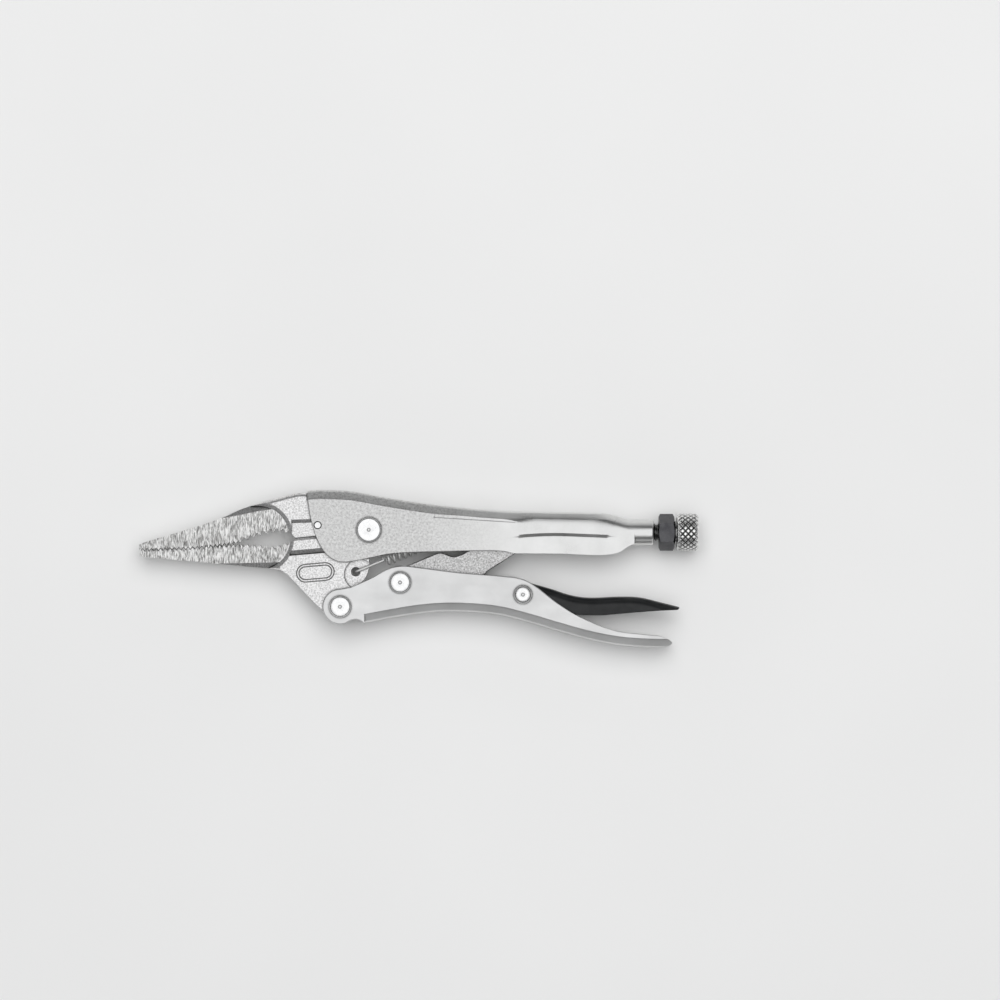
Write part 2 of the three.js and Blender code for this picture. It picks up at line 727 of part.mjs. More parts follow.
function screwRod() {
  const chamfer = 0.5;
  return turnedOnScrew(
    [
      [SCREW_TIP_X, 0],
      [SCREW_TIP_X, THREAD_RADIUS - chamfer],
      [SCREW_TIP_X + chamfer, THREAD_RADIUS],
      [NUT_X + NUT_LENGTH - FACE_PLAY, THREAD_RADIUS],
      [NUT_X + NUT_LENGTH - FACE_PLAY, SPIGOT_RADIUS],
      [KNOB_X + SPIGOT_LENGTH, SPIGOT_RADIUS],
      [KNOB_X + SPIGOT_LENGTH, 0],
    ],
    28,
  );
}

function knob() {
  const end = KNOB_X + KNOB_LENGTH;
  const socket = SPIGOT_RADIUS + PIVOT_PLAY;
  const bottom = KNOB_X + SPIGOT_LENGTH + FIT_GAP;
  return turnedOnScrew(
    [
      [bottom, 0],
      [bottom, socket],
      [NECK_X, socket],
      [NECK_X, NECK_RADIUS],
      [KNOB_X, NECK_RADIUS],
      [KNOB_X, KNOB_RADIUS - KNOB_CORNER],
      [KNOB_X + 0.3 * KNOB_CORNER, KNOB_RADIUS - 0.3 * KNOB_CORNER],
      [KNOB_X + KNOB_CORNER, KNOB_RADIUS],
      [end - KNOB_CORNER, KNOB_RADIUS],
      [end - 0.3 * KNOB_CORNER, KNOB_RADIUS - 0.3 * KNOB_CORNER],
      [end, KNOB_RADIUS - KNOB_CORNER],
      [end, 0],
    ],
    40,
  );
}

function lockNut() {
  const corner = NUT_ACROSS_FLATS / Math.sqrt(3);
  const end = NUT_X + NUT_LENGTH;
  const profile = [[NUT_X, 0], [NUT_X, corner], [end, corner], [end, 0]];
  const hexagon = turnedOnScrew(profile, 6, Math.PI / 6);
  const chamfered = turnedOnScrew(
    [
      [NUT_X, 0],
      [NUT_X, corner - NUT_CHAMFER],
      [NUT_X + NUT_CHAMFER / 2, corner + 0.02],
      [end - NUT_CHAMFER / 2, corner + 0.02],
      [end, corner - NUT_CHAMFER],
      [end, 0],
    ],
    30,
  );
  const threadBore = turnedOnScrew(
    [
      [NUT_X - 1, 0],
      [NUT_X - 1, THREAD_RADIUS + PIVOT_PLAY],
      [end + 1, THREAD_RADIUS + PIVOT_PLAY],
      [end + 1, 0],
    ],
    28,
  );
  return hexagon.intersect(chamfered).subtract(threadBore);
}

// ---- Spring ----

// Points of a line that turns a corner: its start, then the bend
function roundedCorner(start, corner, end, reach) {
  const before = new THREE.Vector3().subVectors(start, corner).setLength(reach).add(corner);
  const after = new THREE.Vector3().subVectors(end, corner).setLength(reach).add(corner);
  return [start, ...new THREE.QuadraticBezierCurve3(before, corner, after).getPoints(4)];
}

// Front hook down through the jaw's ear, coils, rear hook through the handle's tab
class SpringPath extends THREE.Curve {
  constructor() {
    super();
    const rise = new THREE.Vector2().subVectors(SPRING_REAR, SPRING_HOLE);
    this.length = rise.length();
    this.angle = rise.angle();
    const hookHeight = EAR_THICKNESS / 2 + WIRE_RADIUS + FIT_GAP;
    const topBend = this.place(0, 0, hookHeight);
    const coilIn = this.place(COIL_START - 1, 0, hookHeight);
    const frontHook = [
      this.place(0, 0, -hookHeight),
      ...roundedCorner(this.place(0, 0, 0), topBend, coilIn, HOOK_REACH),
      coilIn,
    ];
    const coil = [];
    for (let i = 0; i <= COIL_TURNS * STEPS_PER_TURN; i += 1) {
      const turn = i / STEPS_PER_TURN;
      const angle = 2 * Math.PI * turn;
      const along = COIL_START + (COIL_LENGTH * turn) / COIL_TURNS;
      coil.push(this.place(along, COIL_RADIUS * Math.sin(angle), COIL_RADIUS * Math.cos(angle)));
    }
    const tabFront = new THREE.Vector3(SPRING_REAR.x - FIT_GAP, SPRING_REAR.y, 0);
    const behind = SPRING_REAR.x + SHEET + FIT_GAP + WIRE_RADIUS;
    const rearBend = new THREE.Vector3(behind, SPRING_REAR.y, 0);
    const hookEnd = new THREE.Vector3(behind, SPRING_REAR.y - 1.8, 0);
    const rearHook = [
      this.place(COIL_START + COIL_LENGTH + 1, 0, COIL_RADIUS / 2),
      ...roundedCorner(tabFront, rearBend, hookEnd, HOOK_REACH / 2),
      hookEnd,
    ];
    this.points = [...frontHook, ...coil, ...rearHook];
  }

  // A place given along the spring, across it and up
  place(along, across, up) {
    const x = SPRING_HOLE.x + along * Math.cos(this.angle) - across * Math.sin(this.angle);
    const y = SPRING_HOLE.y + along * Math.sin(this.angle) + across * Math.cos(this.angle);
    return new THREE.Vector3(x, y, up);
  }

  getPoint(share, target = new THREE.Vector3()) {
    const spot = share * (this.points.length - 1);
    const before = Math.min(Math.floor(spot), this.points.length - 2);
    return target.lerpVectors(this.points[before], this.points[before + 1], spot - before);
  }

  // Equal shares from point to point, so that every point becomes a ring of the wire
  getUtoTmapping(share) {
    return share;
  }
}

function tensionSpring() {
  const path = new SpringPath();
  const wire = new THREE.Shape();
  wire.absarc(0, 0, WIRE_RADIUS, 0, 2 * Math.PI);
  const steps = path.points.length - 1;
  const options = { steps, extrudePath: path, curveSegments: 3, bevelEnabled: false };
  return solidFrom(new THREE.ExtrudeGeometry(wire, options));
}

// ---- Assembly ----

const pliers = new THREE.Group();

function add(name, solid, color, roughness, metalness) {
  const material = new THREE.MeshStandardMaterial({ color, roughness, metalness });
  const mesh = new THREE.Mesh(geometryFrom(solid), material);
  mesh.name = name;
  pliers.add(mesh);
}

const NICKEL = '#c9c9c6';
const GROUND_STEEL = '#b9b9b6';
const BRIGHT_STEEL = '#d8d8d6';
const BLACKENED = '#26292a';

add('upper_handle', upperHandle(), NICKEL, 0.32, 1);
add('upper_jaw', upperJaw(), GROUND_STEEL, 0.42, 1);
const locatingPin = bore(LOCATING_PIN, PIN_RADIUS, OUTER_HALF - FACE_PLAY, 12);
add('jaw_locating_pin', locatingPin, GROUND_STEEL, 0.4, 1);
add('main_rivet', rivet(JAW_PIVOT, RIVETS.main), BRIGHT_STEEL, 0.22, 1);
add('lower_jaw', lowerJaw(), GROUND_STEEL, 0.42, 1);
add('lever_rivet', rivet(LEVER_PIVOT, RIVETS.lever), BRIGHT_STEEL, 0.22, 1);
add('lever', lever(), NICKEL, 0.32, 1);
add('link_rivet', rivet(LINK_PIVOT, RIVETS.link), BRIGHT_STEEL, 0.22, 1);
add('toggle_link', toggleLink(), NICKEL, 0.5, 1);
add('release_lever', releaseLever(), BLACKENED, 0.4, 0.6);
add('release_rivet', rivet(RELEASE_PIVOT, RIVETS.release), BRIGHT_STEEL, 0.22, 1);
add('adjusting_screw', screwRod(), GROUND_STEEL, 0.35, 1);
add('adjusting_knob', knob(), BRIGHT_STEEL, 0.3, 1);
add('lock_nut', lockNut(), BLACKENED, 0.4, 0.6);
add('tension_spring', tensionSpring(), BRIGHT_STEEL, 0.3, 1);

const box = new THREE.Box3().setFromObject(pliers);
const middle = box.getCenter(new THREE.Vector3());
pliers.position.set(-middle.x, -middle.y, -box.min.z);

export default pliers;
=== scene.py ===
"""Long-nose locking pliers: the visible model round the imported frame.

Shapes are made in millimetres from the main pivot, like the part's source, then moved into the
frame in metres. X runs towards the adjusting screw, Y towards the upper handle, Z up.
"""

import math

import bmesh
import bpy
import numpy as np
from mathutils import Matrix, Vector


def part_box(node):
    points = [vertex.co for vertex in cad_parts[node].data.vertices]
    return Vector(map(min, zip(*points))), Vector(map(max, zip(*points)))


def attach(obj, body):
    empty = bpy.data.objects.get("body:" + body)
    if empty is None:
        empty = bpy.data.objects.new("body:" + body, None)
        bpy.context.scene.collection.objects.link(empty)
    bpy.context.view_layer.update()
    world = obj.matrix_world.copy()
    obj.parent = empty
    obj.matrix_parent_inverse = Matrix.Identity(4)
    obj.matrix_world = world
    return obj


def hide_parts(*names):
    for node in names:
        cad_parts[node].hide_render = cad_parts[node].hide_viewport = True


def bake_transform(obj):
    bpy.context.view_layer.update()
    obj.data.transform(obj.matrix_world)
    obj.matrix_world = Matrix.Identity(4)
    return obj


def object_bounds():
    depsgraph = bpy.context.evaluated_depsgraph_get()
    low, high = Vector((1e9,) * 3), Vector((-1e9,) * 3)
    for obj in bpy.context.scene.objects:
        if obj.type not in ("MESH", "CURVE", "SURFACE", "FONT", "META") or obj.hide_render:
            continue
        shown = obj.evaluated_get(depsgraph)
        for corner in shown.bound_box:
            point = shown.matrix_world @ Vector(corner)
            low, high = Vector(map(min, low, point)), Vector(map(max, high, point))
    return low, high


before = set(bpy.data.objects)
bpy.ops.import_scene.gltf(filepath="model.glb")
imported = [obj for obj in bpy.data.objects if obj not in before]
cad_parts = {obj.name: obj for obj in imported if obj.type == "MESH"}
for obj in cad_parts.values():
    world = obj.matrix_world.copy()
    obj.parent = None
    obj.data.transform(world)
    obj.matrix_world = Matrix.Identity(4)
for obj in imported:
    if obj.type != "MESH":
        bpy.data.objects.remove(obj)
CAD_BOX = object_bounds()
MM = 0.001

# ---- Sizes in millimetres, as in the part ----

HEAD_RISE = 1.35  # rivet heads above the handle's and the lever's sides
low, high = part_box("main_rivet")
PIVOT = (Vector(low) + Vector(high)) / 2
OUTER_HALF = (high[2] - low[2]) / 2 / MM - HEAD_RISE  # outside of handle and lever

NOSE = 64.8  # main pivot to the tips of the jaws
HANDLE = 80.1  # main pivot to the mouth of the barrel
LEVER = 85.4  # main pivot to the tails of the lever and the release lever
RELEASE = 87.4
JAW_HALF = 3.3
SHEET = 1.5
CHANNEL_HALF = 3.5
BEND = 2.6  # radius of the pressed bends
LEVER_PIVOT = (-8.06, -21.61)
LINK_PIVOT = (8.79, -14.79)
RELEASE_PIVOT = (43.3, -18.2)
LOCATING_PIN = (-14.4, 1.3)
LINK_TIP = (46.7, -0.76)
SCREW_Y = LINK_TIP[1]
BARREL_RADIUS = 3.6
BARREL_START = HANDLE - 7.4
SHOULDER_X = -24.0
HANDLE_FRONT = -17.3
NUT_X = HANDLE + 1.5
NECK_X = NUT_X + 4.5
KNOB_X = NECK_X + 0.5
KNOB_END = KNOB_X + 6.3
SPRING_HOLE = (-3.8, -11.85)
SPRING_REAR = (27.6, 0.95)
WIRE_RADIUS = 0.33
THREAD_RADIUS = 2.5
THREAD_PITCH = 0.8
KNOB_RADIUS = 5.25
NUT_ACROSS_FLATS = 9.0
NUT_LENGTH = 4.4
MAIN_BORE = 2.65
RIVET_BORE = 2.25
RELEASE_BORE = 1.85
PIN_BORE = 1.15
EAR_HOLE = 1.35  # for the spring's hook
EAR_HALF = 1.2  # half the thickness of the jaw's ear
THREAD_BORE = 2.65
BORE_MOUTH = 3.0  # where the thread's bores open out
DISH_X = -31.2  # centre of the round end of the ground noses
WIDE = 40.0  # well past every outline
FACET_SOFT = 0.12  # rounding of the jaws' cut edges
SHEET_SOFT = 0.25  # rounding of the sheet's cut edges

# ---- Lines and outlines ----


def spline(points, per_span=10):
    """Points along a smooth curve through the given places."""
    p = [np.array(q, float) for q in points]
    out = []
    for i in range(len(p) - 1):
        before, a, b, after = p[max(i - 1, 0)], p[i], p[i + 1], p[min(i + 2, len(p) - 1)]
        va, vb = (b - before) / 2, (after - a) / 2
        for k in range(per_span):
            t = k / per_span
            out.append(
                (2 * a - 2 * b + va + vb) * t**3
                + (-3 * a + 3 * b - 2 * va - vb) * t**2
                + va * t
                + a
            )
    out.append(p[-1])
    return out


def height(places):
    """A smooth height over X through a few places."""
    line = np.array(spline(places, 16))
    return lambda x: float(np.interp(x, line[:, 0], line[:, 1]))


def smoothstep(x, a, b):
    """0 before a, 1 after b, and a soft rise between."""
    t = min(max((x - a) / (b - a), 0.0), 1.0)
    return t * t * (3 - 2 * t)


def lerp(a, b, t):
    return a + (b - a) * t


def spaced(a, b, count):
    """The ends and the joints of count equal steps from a to b."""
    return [a + (b - a) * i / count for i in range(count + 1)]


class Outline:
    """A closed outline in X and Y, drawn piece by piece."""

    def __init__(self, x, y):
        self.points = [(x, y)]

    def line(self, x, y):
        self.points.append((x, y))
        return self

    def through(self, places, per_span=8):
        self.points += [tuple(q) for q in spline([self.points[-1]] + places, per_span)[1:]]
        return self

    def arc(self, centre, radius, start, end, steps=24):
        for i in range(steps + 1):
            a = lerp(start, end, i / steps)
            self.points.append(
                (centre[0] + radius * math.cos(a), centre[1] + radius * math.sin(a))
            )
        return self

    def quad(self, corner, end, steps=8):
        start = self.points[-1]
        for i in range(1, steps + 1):
            t = i / steps
            self.points.append(
                tuple(
                    (1 - t) ** 2 * s + 2 * t * (1 - t) * c + t * t * e
                    for s, c, e in zip(start, corner, end)
                )
            )
        return self


def circle(centre, radius, steps=48):
    return [
        (
            centre[0] + radius * math.cos(2 * math.pi * i / steps),
            centre[1] + radius * math.sin(2 * math.pi * i / steps),
        )
        for i in range(steps)
    ]


# ---- Solids, as objects in millimetres ----


def solid(verts, faces):
    """A closed mesh object, with its faces turned outwards."""
    mesh = bpy.data.meshes.new("solid")
    mesh.from_pydata([tuple(map(float, v)) for v in verts], [], faces)
    work = bmesh.new()
    work.from_mesh(mesh)
    bmesh.ops.remove_doubles(work, verts=work.verts, dist=1e-4)
    bmesh.ops.dissolve_degenerate(work, edges=work.edges, dist=1e-4)
    if work.calc_volume(signed=True) < 0:
        bmesh.ops.reverse_faces(work, faces=work.faces)
    work.to_mesh(mesh)
    work.free()
    piece = bpy.data.objects.new("solid", mesh)
    bpy.context.scene.collection.objects.link(piece)
    return piece


def loft(rings):
    """Joins closed rings of equal count and closes both ends."""
    count = len(rings[0])
    faces = []
    for r in range(len(rings) - 1):
        for i in range(count):
            j = (i + 1) % count
            a, b = r * count + i, r * count + j
            faces.append((a, b, b + count, a + count))
    last = (len(rings) - 1) * count
    faces.append(tuple(reversed(range(count))))
    faces.append(tuple(range(last, last + count)))
    return solid([v for ring in rings for v in ring], faces)


def inset(points, distance):
    """The outline moved inwards by a distance, corner by corner."""
    area = sum(p[0] * q[1] - q[0] * p[1] for p, q in zip(points[-1:] + points[:-1], points))
    turn = math.copysign(1, area)
    out = []
    for i, here in enumerate(points):
        before, after = Vector(points[i - 1]), Vector(points[(i + 1) % len(points)])
        here = Vector(here)
        one, two = (here - before).normalized(), (after - here).normalized()
        n1, n2 = Vector((-one.y, one.x)) * turn, Vector((-two.y, two.x)) * turn
        move = (n1 + n2) / max(1 + n1.dot(n2), 0.35)
        out.append(tuple(here + move * distance))
    return out


def plate(outline, half, low=None, soft=0.0, steps=6):
    """A plate with the given outline. The edges of both faces are rounded by soft."""
    points = outline.points if isinstance(outline, Outline) else outline
    apart = max(2e-3, soft * 0.6)
    clean = [points[0]]
    for p in points[1:]:
        if math.dist(p, clean[-1]) > apart:
            clean.append(p)
    while math.dist(clean[0], clean[-1]) < apart:
        clean.pop()
    bottom = -half if low is None else low
    if not soft:
        return loft([[(x, y, z) for x, y in clean] for z in (bottom, half)])
    levels = []
    for i in range(steps + 1):
        a = math.pi / 2 * i / steps
        levels.append((bottom + soft * (1 - math.cos(a)), soft * (1 - math.sin(a))))
    levels += [(half + bottom - z, d) for z, d in reversed(levels)]
    return loft([[(x, y, z) for x, y in inset(clean, d)] for z, d in levels])


def block(low, high):
    x0, y0, z0 = low
    x1, y1, z1 = high
    return loft([[(x0, y0, z), (x1, y0, z), (x1, y1, z), (x0, y1, z)] for z in (z0, z1)])


def bore(centre, radius, half=12.0, steps=48):
    return plate(circle(centre, radius, steps), half)


def baked(piece):
    """The piece with its modifiers made real."""
    graph = bpy.context.evaluated_depsgraph_get()
    mesh = bpy.data.meshes.new_from_object(piece.evaluated_get(graph), depsgraph=graph)
    piece.modifiers.clear()
    piece.data = mesh
    return piece


def combine(a, b, operation):
    """Piece a after a Boolean with piece b, which is used up."""
    step = a.modifiers.new("step", "BOOLEAN")
    step.operation = operation
    step.solver = "MANIFOLD"
    step.object = b
    baked(a)
    bpy.data.objects.remove(b)
    return a


def cut(a, *tools):
    for tool in tools:
        combine(a, tool, "DIFFERENCE")
    return a


def join(a, *others):
    for other in others:
        combine(a, other, "UNION")
    return a


def keep(a, b):
    return combine(a, b, "INTERSECT")


# Bends as shares of their radius, from the flat side to the back: (inward, drop from the side)
ROUND_BEND = [(math.sin(a), 1 - math.cos(a)) for a in (math.pi / 16 * i for i in range(9))]
PRESSED_BEND = [
    (0, 0), (0.05, 0.01), (0.12, 0.05), (0.3, 0.17), (0.5, 0.31), (0.7, 0.45), (0.84, 0.55),
    (0.94, 0.67), (1, 1),
]
CROWNED_BEND = [
    (0, 0), (0.2, 0.012), (0.42, 0.045), (0.6, 0.095), (0.66, 0.125), (0.78, 0.2), (0.93, 0.31),
    (0.98, 0.42), (1, 1),
]


def mixed(one, other, share):
    """One bend turned into another by a share from 0 to 1."""
    return [(lerp(a[0], b[0], share), lerp(a[1], b[1], share)) for a, b in zip(one, other)]


def arch_bar(stations, back, floor, half, radius, steps=8, side=None, waist=None, bend=None):
    """A bar along X. Its back follows a height and bends over to both sides. side(x, y, half)
    may shape the flat sides, with its rows gathered at the height waist(x). bend(x) is the
    shape of the bends there, round without it."""
    towards = math.copysign(1, floor - back(stations[0]))
    side = side or (lambda x, y, h: h)
    rings = []
    for x in stations:
        h = half(x)
        r = min(radius(x), h - 0.01)
        top = back(x)
        edge = []
        bend_start = top + towards * r
        heights = [floor] + [bend_start + towards * d for d in (9.0, 5.0, 3.0, 1.5, 0.7)]
        if waist:
            heights = [floor] + [waist(x) + towards * d for d in (9.0, 4.0, 0.9, 0.45, 0.0)]
        for y in sorted(heights, reverse=towards > 0):
            edge.append((y, side(x, y, h)))
        inward, drop = zip(*(bend(x) if bend else ROUND_BEND))
        for i in range(steps + 1):
            at = i / steps * (len(inward) - 1)
            deep = float(np.interp(at, range(len(drop)), drop))
            out = float(np.interp(at, range(len(inward)), inward))
            edge.append((top + towards * r * (1 - out), h - r * deep))
        rings.append([(x, y, -z) for y, z in edge] + [(x, y, z) for y, z in reversed(edge)])
    return loft(rings)


def turned(profile, steps=64, y=SCREW_Y):
    """A piece turned on an axis along X, the screw's by default, from (x, radius) places."""
    return loft([[(x, *q) for q in circle((y, 0), r, steps)] for x, r in profile])


def faced(piece, face):
    """A piece made for the +Z face, mirrored to the -Z face for face=-1."""
    if face < 0:
        piece.data.transform(Matrix.Scale(-1, 4, (0, 0, 1)))
        piece.data.flip_normals()
    return piece


def standing(centre, levels, steps):
    """A round piece that stands across the tool, from (z, radius) levels."""
    return loft([[(x, y, z) for x, y in circle(centre, r, steps)] for z, r in levels])


def groove(start, end, section, face=1):
    """A prism between two places whose section is (across, z); across is to the left of the
    line. It lies on the +Z face, or on the -Z face for face=-1."""
    a, b = Vector(start), Vector(end)
    along = (b - a).normalized()
    left = Vector((-along.y, along.x))
    rings = []
    for p in (a, b):
        ring = []
        for across, z in section:
            q = p + left * across
            ring.append((q.x, q.y, z * face))
        rings.append(ring)
    return loft(rings)


def pill(centre, length, width, angle, steps=16):
    """A rounded oblong's outline."""
    c, s = math.cos(angle), math.sin(angle)
    r = width / 2
    reach = length / 2 - r
    out = []
    for end, first in ((1, -math.pi / 2), (-1, math.pi / 2)):
        for i in range(steps + 1):
            a = first + math.pi * i / steps
            u, v = end * reach + r * math.cos(a), r * math.sin(a)
            out.append((centre[0] + u * c - v * s, centre[1] + u * s + v * c))
    return out


def smoothed(piece, crisp=20):
    """Clean faces and smooth normals. Edges that turn more than crisp degrees stay crisp."""
    work = bmesh.new()
    work.from_mesh(piece.data)
    bmesh.ops.remove_doubles(work, verts=work.verts, dist=0.008)
    bmesh.ops.dissolve_degenerate(work, edges=work.edges, dist=0.002)
    work.to_mesh(piece.data)
    work.free()
    piece.data.shade_smooth()
    piece.data.set_sharp_from_angle(angle=math.radians(crisp))
    weighted = piece.modifiers.new("normals", "WEIGHTED_NORMAL")
    weighted.keep_sharp = True
    return baked(piece)


def place(piece, name, body, material, node=None):
    """Moves a finished piece into the frame, in metres, and puts it on its body."""
    piece.name = name
    piece.data.name = name
    piece.data.transform(Matrix.Translation(PIVOT) @ Matrix.Scale(MM, 4))
    piece.data.materials.clear()
    piece.data.materials.append(material)
    if body:
        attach(piece, body)
    if node:
        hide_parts(node)
    return piece


# ---- Materials: noise scales are in waves per metre, bump distances in metres ----


class Shader:
    """A procedural material put together node by node, in object coordinates."""

    def __init__(self, name, **values):
        self.material = bpy.data.materials.new(name)
        self.material.use_nodes = True
        self.tree = self.material.node_tree
        self.main = self.tree.nodes["Principled BSDF"]
        self.fill(self.main, **values)
        self.where = self.node("ShaderNodeTexCoord").outputs["Object"]
        self.bump_end = None

    def node(self, kind, **settings):
        made = self.tree.nodes.new(kind)
        for key, value in settings.items():
            setattr(made, key, value)
        return made

    def fill(self, made, **values):
        """Sets inputs of a node, with _ for the spaces in their names."""
        for key, value in values.items():
            made.inputs[key.replace("_", " ")].default_value = value

    def link(self, a, b):
        self.tree.links.new(a, b)

    def stretched(self, scale, turn=0.0):
        mapping = self.node("ShaderNodeMapping")
        self.fill(mapping, Scale=scale, Rotation=(0, 0, turn))
        self.link(self.where, mapping.inputs["Vector"])
        return mapping.outputs["Vector"]

    def noise(self, scale, detail=3.0, roughness=0.55, vector=None, distortion=0.0):
        made = self.node("ShaderNodeTexNoise")
        self.fill(made, Scale=scale, Detail=detail, Roughness=roughness, Distortion=distortion)
        self.link(vector or self.where, made.inputs["Vector"])
        return made.outputs["Fac"]

    def between(self, value, low, high, to_low=0.0, to_high=1.0):
        made = self.node("ShaderNodeMapRange")
        made.clamp = True
        self.fill(made, From_Min=low, From_Max=high, To_Min=to_low, To_Max=to_high)
        self.link(value, made.inputs["Value"])
        return made.outputs["Result"]

    def maths(self, operation, a, b):
        made = self.node("ShaderNodeMath", operation=operation)
        for socket, value in zip(made.inputs, (a, b)):
            if isinstance(value, (int, float)):
                socket.default_value = value
            else:
                self.link(value, socket)
        return made.outputs["Value"]

    def colours(self, value, a, b):
        """Two colours, or two colour outputs, mixed by a value."""
        made = self.node("ShaderNodeMix", data_type="RGBA")
        self.link(value, made.inputs["Factor"])
        for key, colour in (("A", a), ("B", b)):
            if isinstance(colour, tuple):
                made.inputs[key].default_value = (*colour, 1)
            else:
                self.link(colour, made.inputs[key])
        return made.outputs["Result"]

    def spread(self, noise, low, high):
        """A number that follows a noise, over the range where most of it lies."""
        return self.between(noise, 0.3, 0.7, low, high)

    def toned(self, noise, low, high):
        """A colour that follows a noise, over the same range."""
        return self.colours(self.spread(noise, 0.0, 1.0), low, high)

    def bump(self, value, strength, distance):
        made = self.node("ShaderNodeBump")
        self.fill(made, Strength=strength, Distance=distance)
        self.link(value, made.inputs["Height"])
        if self.bump_end:
            self.link(self.bump_end, made.inputs["Normal"])
        self.bump_end = made.outputs["Normal"]
        self.link(self.bump_end, self.main.inputs["Normal"])

    def set(self, name, output):
        self.link(output, self.main.inputs[name])

    def painted_shade(self, colour, reach=0.0007, least=0.06):
        """The colour with painted shade: darkened where the surface is shut in by its neighbours,
        in crevices and where parts meet.
        """
        hidden = self.node("ShaderNodeAmbientOcclusion", samples=6)
        hidden.inputs["Distance"].default_value = reach
        amount = self.between(hidden.outputs["AO"], 0.42, 0.93, least, 1.0)
        made = self.node("ShaderNodeMix", data_type="RGBA", blend_type="MULTIPLY")
        made.inputs["Factor"].default_value = 1.0
        self.link(colour, made.inputs["A"])
        self.link(amount, made.inputs["B"])
        return made.outputs["Result"]

    def flatness(self, low, high):
        """1 on faces across the tool's thin direction, 0 on sloped faces and walls."""
        facing = self.node("ShaderNodeTexCoord").outputs["Normal"]
        made = self.node("ShaderNodeSeparateXYZ")
        self.link(facing, made.inputs["Vector"])
        return self.between(self.maths("ABSOLUTE", made.outputs["Z"], 0.0), low, high)

    def along(self, axis):
        made = self.node("ShaderNodeSeparateXYZ")
        self.link(self.where, made.inputs["Vector"])
        return made.outputs[axis]


def row_x(x):
    """Where a place along the tool lies in the frame, in metres."""
    return PIVOT.x + x * MM


def row_y(y):
    """The same across the tool."""
    return PIVOT.y + y * MM


def plated_sheet():
    """Satin nickel on pressed steel: orange-peel pebbling, strong in front, fading behind."""
    s = Shader("plated_sheet", Metallic=1.0)
    broad = s.noise(140, 3)
    pebble = s.noise(1500, 2, 0.6)
    grain = s.noise(5200, 2, 0.7)
    front = s.between(s.along("X"), row_x(14), row_x(40), 1.0, 0.0)
    tone = s.maths("MULTIPLY", s.between(pebble, 0.34, 0.66), front)
    base = s.toned(broad, (0.67, 0.67, 0.66), (0.80, 0.80, 0.79))
    dull = s.colours(s.between(grain, 0.35, 0.65), (0.24, 0.237, 0.23), (0.76, 0.755, 0.75))
    # Painted shade: the colour is darkened in creases, hollows and where other parts meet the
    # handle.
    s.set("Base Color", s.painted_shade(s.colours(s.maths("MULTIPLY", tone, 0.9), base, dull)))
    rough = s.maths("ADD", s.spread(broad, 0.27, 0.36), s.maths("MULTIPLY", front, 0.07))
    s.set("Roughness", s.maths("ADD", rough, s.spread(grain, -0.03, 0.03)))
    s.bump(grain, 0.25, 0.00004)
    amount = s.maths("ADD", s.maths("MULTIPLY", front, 0.8), 0.2)
    s.bump(s.maths("MULTIPLY", pebble, amount), 0.5, 0.00010)
    return s.material


def satin_sheet():
    """The lever's smoother satin nickel."""
    s = Shader("satin_sheet", Metallic=1.0)
    broad = s.noise(110, 3)
    grain = s.noise(4600, 2, 0.7)
    smear = s.noise(260, 4, 0.6, s.stretched((0.35, 1.6, 1.0), 0.3))
    # Painted shade: the colour is darkened in creases, hollows and where other parts meet the
    # lever.
    s.set("Base Color", s.painted_shade(s.toned(broad, (0.64, 0.64, 0.635), (0.74, 0.74, 0.735))))
    rough = s.maths("ADD", s.spread(smear, 0.30, 0.39), s.spread(grain, -0.03, 0.03))
    s.set("Roughness", rough)
    s.bump(grain, 0.3, 0.00003)
    s.bump(broad, 0.15, 0.0003)
    return s.material


def sanded():
    """Blasted steel, plated: a fine sand grain with dark pits."""
    s = Shader("sanded", Metallic=1.0)
    sand = s.noise(2600, 3, 0.7)
    fine = s.noise(7000, 2, 0.7)
    pits = s.between(sand, 0.30, 0.62)
    # Painted shade: the colour is darkened where the link is shut in by other parts.
    s.set("Base Color", s.painted_shade(s.colours(pits, (0.26, 0.257, 0.25), (0.86, 0.855, 0.85))))
    s.set("Roughness", s.spread(fine, 0.38, 0.52))
    s.bump(sand, 0.55, 0.00012)
    s.bump(fine, 0.3, 0.00004)
    return s.material


